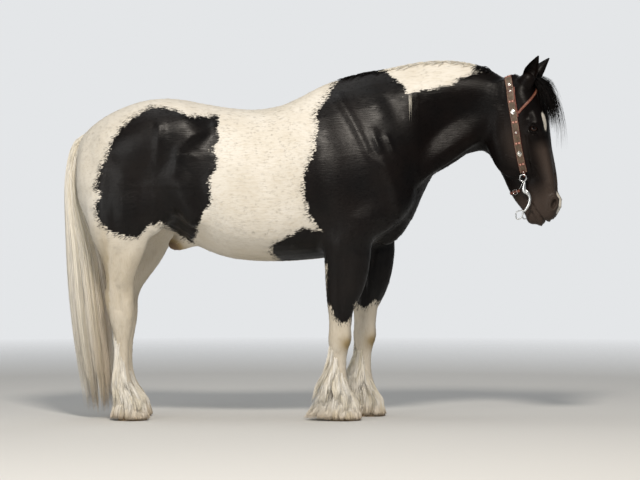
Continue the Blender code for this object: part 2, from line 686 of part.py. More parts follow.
def ear_rings(left, grow=0.0):
    """Crescent sections of an ear from root to tip, whose cup faces forwards and outwards.

    Where it grows to make room for the ear, it has no cup.
    """
    root = head_place(EAR_ROOT, left)
    tip = head_place(FAR_EAR_TIP if left else EAR_TIP, left)
    along = (tip - root).normalized()
    outward = head_place((0, 1, 0), left) - head_place((0, 0, 0), left)
    forward = head_place((0, 0, 1), left) - head_place((0, 0, 0), left)
    facing = forward * 0.55 + outward.normalized() * 0.75
    facing = (facing - along * facing.dot(along)).normalized()
    across = along.cross(facing)
    rings = []
    for t, width in EAR_WIDTHS:
        centre = root.lerp(tip, t) - facing * 0.006 * math.sin(math.pi * t)
        cup = 0.0 if grow else min(1.0, max(0.0, (t - 0.05) / 0.25))
        outer = width + grow
        wall = min(EAR_WALL, width * 0.5)
        points = []
        for angle in np.radians(np.linspace(-90, 90, 7)):
            points.append(centre + across * outer * math.sin(angle) - facing * outer * 0.85 * math.cos(angle))
        for angle in np.radians(np.linspace(60, -60, 5)):
            inner = width - wall + grow
            hollow = -0.85 * inner * math.cos(angle) * cup + 0.45 * outer * math.cos(angle) * (1 - cup)
            points.append(centre + across * inner * math.sin(angle) + facing * (hollow + grow))
        rings.append(np.array(points))
    start = np.array(root - along * (0.030 + grow))
    shrunk = np.array(root) + (rings[0] - np.array(root)) * 0.8
    rings.insert(0, shrunk + start - np.array(root))
    rings[-1] += np.array(along) * grow
    return rings


def ball(name, centre, radius, around, up):
    angle = np.linspace(0, 2 * math.pi, around, endpoint=False)
    rings = []
    for row in np.linspace(-math.pi / 2, math.pi / 2, up + 1)[1:-1]:
        flat = radius * math.cos(row)
        height = np.full(around, radius * math.sin(row))
        rings.append(np.column_stack([flat * np.cos(angle), flat * np.sin(angle), height]) + np.array(centre))
    points, quads, triangles = tube(rings)
    points[-2:] = (np.array(centre) - (0, 0, radius), np.array(centre) + (0, 0, radius))
    return closed_object(name, points, quads, triangles)


def head_axes(left):
    """Down the head, outwards and towards the face, as unit directions."""
    origin = head_place((0, 0, 0), left)
    down = (head_place((1, 0, 0), left) - origin).normalized()
    out = (head_place((0, 1, 0), left) - origin).normalized()
    face = (head_place((0, 0, 1), left) - origin).normalized()
    return down, out, face


def eye_opening(left):
    """An almond prism that cuts the gap between the lids."""
    down, out, face = head_axes(left)
    centre = head_place(EYE_PLACE, left)
    long = (face * math.cos(EYE_TILT) + down * math.sin(-EYE_TILT)).normalized()
    out = (out + face * 0.25).normalized()
    high = out.cross(long).normalized()
    rings = []
    for depth, grow in ((0.004, 0.72), (EYE_RADIUS + 0.02, 1.25)):
        points = []
        for angle in np.linspace(0, 2 * math.pi, 12, endpoint=False):
            wide = math.cos(angle) * EYE_OPENING[0] * grow
            tall = math.sin(angle) * abs(math.sin(angle)) ** 0.35 * EYE_OPENING[1] * grow
            points.append(centre + out * depth + long * wide + high * tall)
        rings.append(np.array(points))
    return make_tube("opening", rings)


def lids(left):
    centre = head_place(EYE_PLACE, left)
    return ball("lids", centre, EYE_RADIUS + LID_THICKNESS, 12, 8)


def nostril_cutter(left):
    start, end, width, thickness = NOSTRIL
    near, far = head_place(start, left), head_place(end, left)
    points, quads, triangles = mass(near, far, width, thickness, 9, 5)
    return closed_object("nostril", points, quads, triangles)


def mouth_cutter(tree):
    """A wedge round the muzzle along the line of the lips."""
    inner, upper, lower = [], [], []
    line = smooth_rows(MOUTH_LINE, 2)
    sides = [(row, False) for row in line] + [(row, True) for row in line[::-1]]
    down, out, face = head_axes(True)
    front = head_place((MOUTH_LINE[-1][0], 0, MOUTH_LINE[-1][1]), True)
    for (u, v), left in sides:
        middle = head_place((u, 0, v), True)
        if (middle - front).length < 0.012:
            continue
        way = (out if left else -out).normalized()
        core = head_place((u - 0.02, 0, v), True)
        hit = tree.ray_cast(core + way * 0.005, (way + down * 0.35).normalized())[0]
        inner.append(hit - way * MOUTH_DEPTH)
        upper.append(hit + way * 0.004 + face * MOUTH_OPEN)
        lower.append(hit + way * 0.004 - face * MOUTH_OPEN)
        if u == line[-2][0] and not left:
            tip = tree.ray_cast(core, down)[0]
            inner.append(tip - down * MOUTH_DEPTH)
            upper.append(tip + down * 0.004 + face * MOUTH_OPEN)
            lower.append(tip + down * 0.004 - face * MOUTH_OPEN)
    rings = [np.array([a, b, c]) for a, b, c in zip(inner, upper, lower)]
    return make_tube("mouth", rings)


def round_bar(name, path, radii, around=6):
    """A round bar along the path, with a radius at each point."""
    path = [Vector(p) for p in path]
    rings = []
    side = None
    for i, (point, radius) in enumerate(zip(path, radii)):
        ahead = (path[min(i + 1, len(path) - 1)] - path[max(i - 1, 0)]).normalized()
        side = ahead.orthogonal() if side is None else side - ahead * side.dot(ahead)
        side.normalize()
        other = ahead.cross(side)
        angles = np.linspace(0, 2 * math.pi, around, endpoint=False)
        rings.append(np.array([point + (side * math.cos(a) + other * math.sin(a)) * radius for a in angles]))
    return make_tube(name, rings)


def lock(name, path, outs, width, depth):
    """A flat lock that tapers to its tip: outs are the directions its flat side faces."""
    path = [Vector(p) for p in path]
    last = len(path) - 1
    rings = []
    for i, point in enumerate(path[:-1]):
        t = i / last
        ahead = (path[i + 1] - path[max(i - 1, 0)]).normalized()
        out = Vector(outs[i])
        out = (out - ahead * out.dot(ahead)).normalized()
        side = ahead.cross(out)
        share = min(0.4 + 1.2 * t, 1.0, 0.1 + 3.0 * (1 - t))
        half, thick = width / 2 * share, depth / 2 * (1 - 0.5 * t)
        corners = (side * half, out * thick, -side * half, -out * thick)
        rings.append(np.array([point + corner for corner in corners]))
    points, quads, triangles = tube(rings)
    points[-1] = path[-1]
    return closed_object(name, points, quads, triangles)


def hang(tree, start, heading, length, lifts, stiff=0.55):
    """Path and outward directions of a lock that leaves its root, falls and rests on the flesh."""
    step = length / len(lifts)
    direction = Vector(heading).normalized()
    points, outs = [Vector(start)], []
    near, normal, _, _ = tree.find_nearest(points[0])
    outs.append(normal.copy())
    for lift in lifts:
        direction = (direction * stiff + Vector((0, 0, -1)) * (1 - stiff)).normalized()
        point = points[-1] + direction * step
        near, normal, _, distance = tree.find_nearest(point)
        height = distance if (point - near).dot(normal) > 0 else -distance
        if height < lift:
            point = near + normal * lift
        points.append(point)
        outs.append(normal.copy())
    return points, outs


def crest_point(x):
    """A place on the crest of the neck, before the neck is turned."""
    rows = smooth_rows(TRUNK_RIBS, 6)
    return float(np.interp(x, rows[:, 0], rows[:, 1]))


def mane_locks(tree):
    """Locks along the crest that fall on the horse's left side, in two overlapping rows."""
    draw = np.random.default_rng(7)
    count = MANE_LOCKS
    locks = []
    for row, lift in ((0, 0.008), (1, 0.021)):
        for i in range(count // 2):
            t = (i + 0.5 * row) / (count // 2 - 0.5)
            x = 0.30 + 0.63 * t
            place = Vector(bend([(x, 0.004 + 0.010 * (1 - row), crest_point(x))])[0])
            near, normal, _, _ = tree.find_nearest(place)
            fullness = 0.75 + 0.25 * math.sin(math.pi * min(1.0, t + 0.25))
            length = MANE_LENGTH * fullness * draw.uniform(0.86, 1.08)
            lifts = [lift, lift + 0.003, lift + 0.004, lift]
            heading = (draw.uniform(-0.15, 0.10) + 0.10, 1.0, 0.35)
            points, outs = hang(tree, near - normal * 0.014, heading, length, lifts)
            locks.append(lock("lock", points, outs, 0.058, 0.009))
    return locks


def poll_tufts(tree):
    """Short locks that stand up behind the poll."""
    draw = np.random.default_rng(5)
    locks = []
    for i in range(6):
        x = 0.828 + 0.024 * i
        place = Vector(bend([(x, 0.0, crest_point(x))])[0])
        near, normal, _, _ = tree.find_nearest(place)
        heading = Vector((-0.30 + 0.08 * i, draw.uniform(-0.2, 0.4), 0.9))
        points = [near - normal * 0.014, near + heading * 0.012, near + heading * 0.026,
                  near + heading * 0.040 - Vector((0.014, 0, 0))]
        locks.append(lock("lock", points, [Vector((0.2, 1, 0))] * 4, 0.034, 0.010))
    return locks


def forelock_locks():
    """Locks that arch forwards from between the ears and fall over the forehead, more to the horse's left."""
    draw = np.random.default_rng(11)
    out = head_axes(True)[2]
    locks = []
    for height, count in FORELOCK_ROWS:
        for i in range(count):
            spread = FORELOCK_SPREAD[0] + (FORELOCK_SPREAD[1] - FORELOCK_SPREAD[0]) * i / (count - 1)
            length = draw.uniform(0.82, 1.06)
            first_u, first_v, _ = FORELOCK_COURSE[0]
            path = []
            for u, v, share in FORELOCK_COURSE:
                down = first_u + (u - first_u) * length
                side = 0.014 * (i - (count - 1) / 2) / count + spread * share
                path.append(head_place((down, side, first_v + (v - first_v) * height), True))
            locks.append(lock("lock", path, [out] * len(path), 0.052, 0.012))
    return locks


def tail_point(t, angle, share):
    """A place in the tail's hair: t from dock to tips, the angle round its course, the share of its width."""
    rows = smooth_rows(TAIL_COURSE, 4)
    place = t * (len(rows) - 1)
    x, z, along, across = (np.interp(place, range(len(rows)), rows[:, k]) for k in range(4))
    return Vector((x - along * share * math.cos(angle), across * share * math.sin(angle), z))


def tail_hair(share):
    """The outline of the tail's hair as one smooth form."""
    angles = np.linspace(0, 2 * math.pi, 14, endpoint=False)
    rings = [np.array([tail_point(t, -a, share) for a in angles]) for t in np.linspace(0.06, 1.0, 14)]
    return make_tube("hair", rings)


def tail_locks():
    """A ring of locks round the dock, and shorter ones inside it that fill the tips."""
    draw = np.random.default_rng(3)
    locks = []
    for count, begin, share, width in TAIL_LAYERS:
        for i in range(count):
            angle = 2 * math.pi * (i + 0.5 * (share < 0.8)) / count
            start = begin + 0.03 * (i % 3)
            end = draw.uniform(0.90, 1.0)
            path, outs = [], []
            for k in range(TAIL_STEPS):
                t = start + (end - start) * k / (TAIL_STEPS - 1)
                turn = angle + 0.12 * math.sin(k * 1.3)
                path.append(tail_point(t, turn, 0.30 if k == 0 else share))
                outs.append(Vector((-math.cos(turn), math.sin(turn), 0)))
            locks.append(lock("lock", path, outs, width, 0.011))
    return locks


def tail_object():
    """The dock with a dense core of hair to half way down, and the locks round it."""
    obj = make_tube("tail", dock_rings())
    angles = np.linspace(0, 2 * math.pi, 10, endpoint=False)
    share, start, end = TAIL_CORE
    rings = [np.array([tail_point(t, -a, share) for a in angles]) for t in np.linspace(start, end, 5)]
    boolean(obj, [make_tube("core", rings), *tail_locks()], "UNION")
    return obj


def dock_rings(grow=0.0):
    rings = []
    table = smooth_rows(DOCK, 2)
    centres = [Vector((x, 0, z)) for x, z, _ in table]
    for i, (x, z, radius) in enumerate(table):
        ahead = (centres[min(i + 1, len(centres) - 1)] - centres[max(i - 1, 0)]).normalized()
        up = Vector((0, 1, 0)).cross(ahead)
        angles = np.linspace(0, 2 * math.pi, 10, endpoint=False)
        radius = radius + grow
        centre = centres[i] - ahead * (grow if i == 0 else 0.0)
        rings.append(np.array([centre + (Vector((0, 1, 0)) * math.cos(a) + up * math.sin(a)) * radius
                               for a in angles]))
    return rings


FEATHER = {
    False: {"front": 0.094, "back": 0.226, "out": 0.112, "inside": 0.098, "top": 0.355},
    True: {"front": 0.094, "back": 0.106, "out": 0.108, "inside": 0.096, "top": 0.420},
}


def feather_locks(tree, hind, left):
    """Locks from below the knee or hock down over the hoof, longest behind."""
    shape = FEATHER[hind]
    draw = np.random.default_rng(20 + 2 * hind + left)
    hoof = HIND_HOOF if hind else FORE_HOOF
    forward = FORE_STEP if left and not hind else 0.0
    side = 1 if left else -1
    middle = Vector(((hoof["front"][0] + hoof["back"][0]) / 2 + forward, side * hoof["y"], 0))
    locks = []

    def add(angle, root_height, tip_height, width, reach):
        way = Vector((math.cos(angle), side * math.sin(angle), 0))
        a = shape["front"] if way.x > 0 else shape["back"]
        b = shape["out"] if math.sin(angle) > 0 else shape["inside"]
        far = reach / math.hypot(way.x / a, way.y / b)
        start = middle + Vector((0, 0, root_height))
        start.x += leg_lean(root_height, hind)
        hit = tree.ray_cast(start, way)[0] or start + way * 0.04
        root = hit - way * 0.012
        tip = middle + way * far + Vector((0, 0, tip_height))
        path = [root]
        for k in (1, 2, 3):
            s = k / 3
            point = root.lerp(tip, s)
            bulge = math.sin(math.pi * s) * (0.012 - 0.035 * max(0.0, -way.x) * (1 - hind))
            path.append(point + way * bulge - Vector((0, 0, 0.02 * math.sin(math.pi * s))))
        locks.append(lock("lock", path, [way] * 4, width, 0.010))

    for i in range(FEATHER_RING):
        angle = 2 * math.pi * (i + 0.5) / FEATHER_RING
        behind = 0.5 - 0.5 * math.cos(angle)
        high = 0.120 + 0.090 * behind + 0.035 * (i % 2)
        low = FLOOR_CLEARANCE + 0.014 * (1 - behind) + draw.uniform(0.0, 0.014)
        add(angle, high, low, 0.080, 0.92 + 0.08 * (i % 2))
    for i in range(FEATHER_BACK):
        angle = math.pi + (i - (FEATHER_BACK - 1) / 2) * 0.42
        high = shape["top"] - 0.03 * (i % 2)
        add(angle, high, 0.150 + draw.uniform(-0.02, 0.02), 0.042, 0.62)
    return locks


def leg_lean(z, hind):
    """How far the middle of the leg at this height lies forward of the middle of the coronet."""
    ribs = smooth_rows(HIND_RIBS if hind else FORE_RIBS, 4)
    hoof = HIND_HOOF if hind else FORE_HOOF
    at = np.interp(-z, -ribs[:, 1], (ribs[:, 0] + ribs[:, 2]) / 2)
    return float(at) - (hoof["front"][0] + hoof["back"][0]) / 2


def headstall_path(skin):
    """The strap's way from the right cheek over the poll to the left: places and outward directions."""
    found = []
    for u, v in CHEEK_PLACES[::-1]:
        found.append(skin.ray_cast(head_place((u, 0, v), False), head_axes(False)[1])[:2])
    down, out, _ = head_axes(True)
    centre = head_place((CROWN_CENTRE[0], 0, CROWN_CENTRE[1]), True)
    for angle in np.radians(np.linspace(-70, 70, 9)):
        way = out * math.sin(angle) - down * math.cos(angle)
        found.append(skin.ray_cast(centre, way)[:2])
    for u, v in CHEEK_PLACES:
        found.append(skin.ray_cast(head_place((u, 0, v), True), out)[:2])
    return np.array([p for p, _ in found]), np.array([n for _, n in found])


def strap_rings(points, normals, width, thickness, grow=0.0):
    """Sections of a flat band along these places of the flesh, its underside just clear of them."""
    for _ in range(2):
        normals = np.vstack([normals[:1], (normals[:-2] + 2 * normals[1:-1] + normals[2:]) / 4, normals[-1:]])
    rings = []
    for i, point in enumerate(points):
        ahead = points[min(i + 1, len(points) - 1)] - points[max(i - 1, 0)]
        ahead /= np.linalg.norm(ahead)
        normal = normals[i] - ahead * normals[i].dot(ahead)
        normal /= np.linalg.norm(normal)
        side = np.cross(ahead, normal)
        low, high = point + normal * (STRAP_LIFT - grow), point + normal * (STRAP_LIFT + thickness + grow)
        half = width / 2 + grow
        rings.append(np.array([low + side * half, low - side * half, high - side * half, high + side * half]))
    for end, beside in ((0, 1), (-1, -2)):
        ahead = rings[end].mean(0) - rings[beside].mean(0)
        rings[end] += ahead / np.linalg.norm(ahead) * grow
    return rings


def headstall(skin):
    """The right cheek strap, the crown over the poll and the left cheek strap."""
    rings = strap_rings(*headstall_path(skin), STRAP_WIDTH, STRAP_THICKNESS)
    first, last = len(CHEEK_PLACES), len(rings) - 1 - len(CHEEK_PLACES)
    pieces = {}
    for name, start, end in (
        ("bridle_cheek_right", 0, first),
        ("bridle_crown", first, last),
        ("bridle_cheek_left", last, len(rings) - 1),
    ):
        part = [r.copy() for r in rings[start : end + 1]]
        if name == "bridle_crown":
            for ring_, other in ((part[0], part[1]), (part[-1], part[-2])):
                ahead = other.mean(0) - ring_.mean(0)
                ring_ += ahead / np.linalg.norm(ahead) * GAP
        pieces[name] = make_tube(name, part)
    return pieces


def headstall_room(skin):
    return make_tube("room", strap_rings(*headstall_path(skin), STRAP_WIDTH, STRAP_THICKNESS, GAP))


def browband_path(skin):
    """Over the forehead, from just in front of the right cheek strap to the left one."""
    down, out, face = head_axes(True)
    found = []
    for angle in np.radians(np.linspace(-90, 90, 11)):
        share = abs(angle) / (math.pi / 2)
        u = BROWBAND_FRONT[0] + (BROWBAND_SIDE[0] - BROWBAND_FRONT[0]) * share**1.4
        v = BROWBAND_FRONT[1] + (BROWBAND_SIDE[1] - BROWBAND_FRONT[1]) * share
        way = out * math.sin(angle) + face * math.cos(angle)
        found.append(skin.ray_cast(head_place((u, 0, v), True), way)[:2])
    return np.array([p for p, _ in found]), np.array([n for _, n in found])


def curb_path(skin):
    """Behind the chin, from one cheek of the bit to the other."""
    down, out, face = head_axes(True)
    centre = head_place((CURB_CENTRE[0], 0, CURB_CENTRE[1]), True)
    found = []
    for angle in np.radians(np.linspace(-75, 75, 9)):
        way = out * math.sin(angle) - face * math.cos(angle)
        found.append(skin.ray_cast(centre, way)[:2])
    return np.array([p for p, _ in found]), np.array([n for _, n in found])


def band(name, path, width, grow=0.0):
    return make_tube(name, strap_rings(*path, width, THIN_STRAP, grow))


def ring_bar(name, centre, first, second, radius, bar, around=12, sides=5):
    """A closed ring of round bar in the plane of two directions."""
    points, faces = [], []
    axis = first.cross(second).normalized()
    for i in range(around):
        angle = 2 * math.pi * i / around
        way = first * math.cos(angle) + second * math.sin(angle)
        for j in range(sides):
            turn = 2 * math.pi * j / sides
            points.append(centre + way * (radius + bar * math.cos(turn)) + axis * bar * math.sin(turn))
            a, b = i * sides + j, i * sides + (j + 1) % sides
            c, d = (a + sides) % (around * sides), (b + sides) % (around * sides)
            faces.append((a, b, d, c))
    obj = make_object(name, points, faces)
    face_out(obj.data)
    return obj


def bit_objects(left):
    side = "left" if left else "right"
    down, out, face = head_axes(left)

    def at(place, y=BIT_SIDE):
        return head_place((place[0], y, place[1]), left)

    upper = ring_bar(f"bit_ring_{side}", at(BIT_RING), down, face, 0.017, 0.0035)
    places = smooth_rows(BIT_SHANK, 1)
    radii = [0.0042 + 0.0035 * math.exp(-((t - 0.42) / 0.14) ** 2) for t in np.linspace(0, 1, len(places))]
    shank = round_bar(f"bit_shank_{side}", [at(p) for p in places], radii)
    loop = ring_bar(f"bit_loop_{side}", at(BIT_LOOP), down, face, 0.0185, 0.0035)
    return [upper, shank, loop]


def finish_node(obj, colour):
    base, rough = COATS[colour]
    material = bpy.data.materials.get(colour) or bpy.data.materials.new(colour)
    material.use_nodes = True
    shader = material.node_tree.nodes["Principled BSDF"]
    shader.inputs["Base Color"].default_value = (*base, 1)
    shader.inputs["Roughness"].default_value = rough
    shader.inputs["Metallic"].default_value = 1.0 if colour == "steel" else 0.0
    obj.data.materials.clear()
    obj.data.materials.append(material)
    obj.data.shade_smooth()
    obj.data.set_sharp_from_angle(angle=math.radians(50))


def stand_at_origin(objects):
    """Moves the whole horse so that the middle of its box stands on the origin."""
    points = np.vstack([np.array([v.co for v in obj.data.vertices]) for obj in objects])
    low, high = points.min(0), points.max(0)
    shift = Vector((-(low[0] + high[0]) / 2, -(low[1] + high[1]) / 2, -low[2]))
    for obj in objects:
        obj.data.transform(Matrix.Translation(shift))
        obj.data.update()


def clear_scene():
    for obj in list(bpy.data.objects):
        bpy.data.objects.remove(obj)


def main():
    clear_scene()
    points, quads = flesh_surface(CELL, REACH)
    tree = BVHTree.FromPolygons(points.tolist(), quads.tolist())
    flesh = flesh_object(points, quads)
    faces = [tuple(f.vertices) for f in flesh.data.polygons]
    skin = BVHTree.FromPolygons([v.co for v in flesh.data.vertices], faces)
    parts = part_flesh(flesh)

    boolean(parts["neck"], mane_locks(tree) + poll_tufts(tree), "UNION")
    boolean(parts["head"], [lids(False), lids(True), *forelock_locks()], "UNION")

    parts.update(headstall(skin))
    beyond_neck = slab(HEAD_CUT, HEAD_SIDE, HEAD_SIDE / 2)
    boolean(parts["neck"], [headstall_room(skin), beyond_neck], "DIFFERENCE")
    cutters = [mouth_cutter(tree), headstall_room(skin)]
    for name, path, width in (
        ("bridle_browband", browband_path(skin), BROWBAND_WIDTH),
        ("curb_strap", curb_path(skin), CURB_WIDTH),
    ):
        parts[name] = band(name, path, width)
        cutters.append(band("band_room", path, width, GAP))
    for left in (False, True):
        side = "left" if left else "right"
        parts[f"ear_{side}"] = make_tube(f"ear_{side}", ear_rings(left))
        cutters.append(make_tube("ear_room", ear_rings(left, GAP)))
        centre = head_place(EYE_PLACE, left)
        parts[f"eye_{side}"] = ball(f"eye_{side}", centre, EYE_RADIUS, 12, 8)
        cutters.append(ball("eye_room", centre, EYE_RADIUS + GAP, 12, 8))
        cutters.append(eye_opening(left))
        cutters.append(nostril_cutter(left))
        for piece in bit_objects(left):
            parts[piece.name] = piece
    boolean(parts["head"], cutters, "DIFFERENCE")

    for left in (False, True):
        side = "left" if left else "right"
        for leg, hoof, hind in (("fore", FORE_HOOF, False), ("hind", HIND_HOOF, True)):
            forward = FORE_STEP if left and not hind else 0.0
            name = f"hoof_{leg}_{side}"
            parts[name] = hoof_object(name, hoof, left, forward)
            lower = parts[f"lower_{leg}leg_{side}"]
            boolean(lower, feather_locks(tree, hind, left), "UNION")
            boolean(lower, [hoof_object("hoof_room", hoof, left, forward, GAP)], "DIFFERENCE")
            if hind:
                boolean(lower, [tail_hair(LEG_ROOM)], "DIFFERENCE")
                boolean(parts[f"hindleg_{side}"], [tail_hair(LEG_ROOM)], "DIFFERENCE")

    parts["tail"] = tail_object()
    boolean(parts["torso"], [make_tube("dock_room", dock_rings(GAP)), tail_hair(RUMP_ROOM)], "DIFFERENCE")

    for name, obj in parts.items():
        tidy_shell(obj)
        finish_node(obj, node_coat(name))
    stand_at_origin(list(parts.values()))


def node_coat(name):
    if name.startswith("hoof"):
        return "horn"
    if name.startswith("eye"):
        return "eye"
    if name.startswith("bit"):
        return "steel"
    if name.startswith(("bridle", "curb")):
        return "leather"
    if name == "tail":
        return "cream"
    if name.startswith(("lower", "hindleg")):
        return "white"
    return "black"


main()
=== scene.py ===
"""A standing drum horse, life size: a heavy black and white pinto stallion in a bridle.

The skin is melted together from the ribs and muscles that the CAD solids have, a coat's depth inside them.
Mane, forelock, tail and feather are thin strands in locks, and the short coat is tufts over a bumpy skin.
Metres, +Z up, +X towards the head, +Y to the horse's left. Shapes are worked out where the horse was drawn,
with its withers over the origin, and moved by SHIFT into the frame.
"""

import math
from contextlib import contextmanager

import bmesh
import bpy
import numpy as np
import openvdb
from mathutils import Matrix, Vector
from mathutils.bvhtree import BVHTree


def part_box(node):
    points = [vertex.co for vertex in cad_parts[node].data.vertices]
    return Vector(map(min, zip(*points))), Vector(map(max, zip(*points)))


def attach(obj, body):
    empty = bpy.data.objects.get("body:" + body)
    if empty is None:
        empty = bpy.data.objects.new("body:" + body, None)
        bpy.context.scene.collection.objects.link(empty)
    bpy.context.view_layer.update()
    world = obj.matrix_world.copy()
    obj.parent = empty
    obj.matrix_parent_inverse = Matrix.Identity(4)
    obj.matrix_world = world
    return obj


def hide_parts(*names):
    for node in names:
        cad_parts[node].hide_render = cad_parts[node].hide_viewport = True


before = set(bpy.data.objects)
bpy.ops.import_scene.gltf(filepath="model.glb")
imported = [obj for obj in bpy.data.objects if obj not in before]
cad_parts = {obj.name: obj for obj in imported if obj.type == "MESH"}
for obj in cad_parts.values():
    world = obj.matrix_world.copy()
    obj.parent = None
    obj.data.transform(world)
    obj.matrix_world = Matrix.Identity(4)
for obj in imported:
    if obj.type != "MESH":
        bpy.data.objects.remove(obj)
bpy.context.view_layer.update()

# The grid on which the flesh is melted together, and the reach of its distances
CELL = 0.005
REACH = 0.06
# The grid's corners, and how softly trunk, legs and head melt in
FLESH_ROOM = ((-1.4, -0.5, -0.05), (1.45, 0.5, 1.95))
TRUNK_BLEND = 0.02
LEG_BLEND = 0.05
HEAD_BLEND = 0.05

# The neck turns to the right between these two places along the body
BEND_START = 0.45
BEND_END = 0.95
BEND_ANGLE = math.radians(15)

# The head's own frame: poll at the origin, first axis down the head, second towards its face
POLL = (1.012, 1.75)
HEAD_LEAN = math.radians(14.8)

# The left legs stand a little further forward than the right ones
FORE_STEP = 0.13
HIND_STEP = 0.11
HOCK_HEIGHT = 0.58
STIFLE_HEIGHT = 0.86

# The place along the body that parts its fore half from its hind one
GIRTH = -0.3

# Ribs of the trunk and neck from tail to poll:
# top x, top z, bottom x, bottom z, half width, widest place, roundness above, roundness below
TRUNK_RIBS = (
    (-1.215, 1.385, -1.2, 1.16, 0.045, 0.5, 2.0, 2.0), (-1.165, 1.462, -1.16, 1.02, 0.15, 0.5, 2.0, 2.0),
    (-1.07, 1.535, -1.06, 0.965, 0.245, 0.55, 2.2, 2.0), (-0.95, 1.593, -0.94, 0.955, 0.295, 0.6, 2.3, 2.0),
    (-0.82, 1.627, -0.81, 0.965, 0.312, 0.62, 2.4, 2.0), (-0.69, 1.627, -0.69, 0.935, 0.322, 0.58, 2.4, 2.0),
    (-0.56, 1.604, -0.575, 0.868, 0.33, 0.5, 2.3, 2.1), (-0.43, 1.584, -0.44, 0.818, 0.348, 0.44, 2.2, 2.2),
    (-0.29, 1.575, -0.3, 0.8, 0.358, 0.42, 2.2, 2.3), (-0.16, 1.598, -0.15, 0.798, 0.352, 0.42, 2.1, 2.3),
    (-0.05, 1.648, -0.02, 0.806, 0.33, 0.42, 1.9, 2.3), (0.05, 1.7, 0.1, 0.822, 0.305, 0.42, 1.7, 2.3),
    (0.16, 1.735, 0.22, 0.845, 0.285, 0.42, 1.6, 2.3), (0.27, 1.762, 0.34, 0.89, 0.265, 0.42, 1.6, 2.3),
    (0.37, 1.778, 0.45, 0.975, 0.235, 0.42, 1.6, 2.2), (0.47, 1.8, 0.545, 1.105, 0.195, 0.4, 1.7, 2.1),
    (0.565, 1.815, 0.615, 1.235, 0.15, 0.42, 1.8, 2.0), (0.665, 1.82, 0.7, 1.305, 0.12, 0.45, 2.0, 2.0),
    (0.765, 1.812, 0.775, 1.34, 0.105, 0.5, 2.0, 2.0), (0.86, 1.79, 0.845, 1.358, 0.1, 0.5, 2.0, 2.0),
    (0.94, 1.755, 0.895, 1.365, 0.098, 0.5, 2.0, 2.0), (0.985, 1.715, 0.93, 1.39, 0.08, 0.5, 2.0, 2.0),
)

# Ribs of the head in its own frame:
# face u, face v, jaw u, jaw v, half width, widest place, roundness above, roundness below
HEAD_RIBS = (
    (0.0, 0.02, 0.05, -0.12, 0.065, 0.55, 2.0, 2.0), (0.045, 0.072, 0.12, -0.165, 0.085, 0.55, 2.1, 2.0),
    (0.1, 0.104, 0.19, -0.19, 0.096, 0.58, 2.2, 2.2), (0.17, 0.122, 0.27, -0.208, 0.103, 0.6, 2.4, 2.4),
    (0.25, 0.126, 0.35, -0.215, 0.106, 0.66, 2.5, 2.4), (0.33, 0.118, 0.42, -0.195, 0.098, 0.68, 2.5, 2.2),
    (0.41, 0.107, 0.49, -0.178, 0.083, 0.66, 2.4, 2.0), (0.49, 0.095, 0.56, -0.166, 0.07, 0.62, 2.3, 2.0),
    (0.56, 0.086, 0.62, -0.15, 0.064, 0.58, 2.3, 2.1), (0.62, 0.083, 0.675, -0.126, 0.062, 0.55, 2.3, 2.2),
    (0.675, 0.077, 0.72, -0.112, 0.06, 0.55, 2.2, 2.2), (0.72, 0.052, 0.748, -0.092, 0.053, 0.55, 2.1, 2.1),
    (0.752, 0.018, 0.765, -0.058, 0.038, 0.5, 2.0, 2.0),
)

# Ribs of the right legs: front x, front z, back x, back z, sideways place, half width
FORE_RIBS = (
    (0.33, 1.2, 0.1, 1.2, 0.14, 0.05), (0.335, 1.12, 0.075, 1.12, 0.175, 0.066),
    (0.33, 1.02, 0.06, 1.02, 0.205, 0.08), (0.295, 0.92, 0.05, 0.9, 0.212, 0.082),
    (0.277, 0.84, 0.052, 0.83, 0.205, 0.078), (0.257, 0.755, 0.056, 0.75, 0.195, 0.07),
    (0.232, 0.67, 0.06, 0.67, 0.185, 0.062), (0.211, 0.6, 0.066, 0.6, 0.178, 0.056),
    (0.199, 0.53, 0.074, 0.53, 0.172, 0.052), (0.193, 0.47, 0.076, 0.47, 0.168, 0.053),
    (0.192, 0.42, 0.072, 0.41, 0.165, 0.055), (0.181, 0.365, 0.078, 0.365, 0.163, 0.048),
    (0.171, 0.32, 0.088, 0.32, 0.161, 0.038), (0.169, 0.26, 0.088, 0.26, 0.159, 0.036),
    (0.173, 0.215, 0.078, 0.215, 0.158, 0.043), (0.184, 0.175, 0.07, 0.165, 0.157, 0.05),
    (0.196, 0.135, 0.092, 0.115, 0.157, 0.044), (0.212, 0.1, 0.098, 0.075, 0.157, 0.052),
    (0.224, 0.07, 0.094, 0.05, 0.157, 0.06),
)
HIND_RIBS = (
    (-0.8, 1.34, -1.08, 1.34, 0.12, 0.06), (-0.775, 1.24, -1.12, 1.25, 0.16, 0.09),
    (-0.765, 1.13, -1.14, 1.16, 0.185, 0.105), (-0.785, 1.02, -1.14, 1.05, 0.195, 0.106),
    (-0.835, 0.94, -1.12, 0.95, 0.198, 0.095), (-0.872, 0.87, -1.09, 0.87, 0.193, 0.08),
    (-0.892, 0.79, -1.06, 0.78, 0.185, 0.068), (-0.902, 0.71, -1.048, 0.7, 0.176, 0.056),
    (-0.905, 0.64, -1.047, 0.635, 0.168, 0.05), (-0.903, 0.575, -1.043, 0.585, 0.162, 0.053),
    (-0.905, 0.51, -1.033, 0.51, 0.158, 0.054), (-0.917, 0.44, -1.014, 0.44, 0.155, 0.047),
    (-0.928, 0.37, -1.003, 0.37, 0.153, 0.037), (-0.93, 0.28, -1.001, 0.28, 0.152, 0.036),
    (-0.922, 0.225, -1.006, 0.225, 0.152, 0.043), (-0.908, 0.18, -1.01, 0.17, 0.152, 0.051),
    (-0.89, 0.135, -0.99, 0.115, 0.152, 0.045), (-0.868, 0.1, -0.978, 0.075, 0.152, 0.053),
    (-0.855, 0.07, -0.98, 0.05, 0.152, 0.06),
)

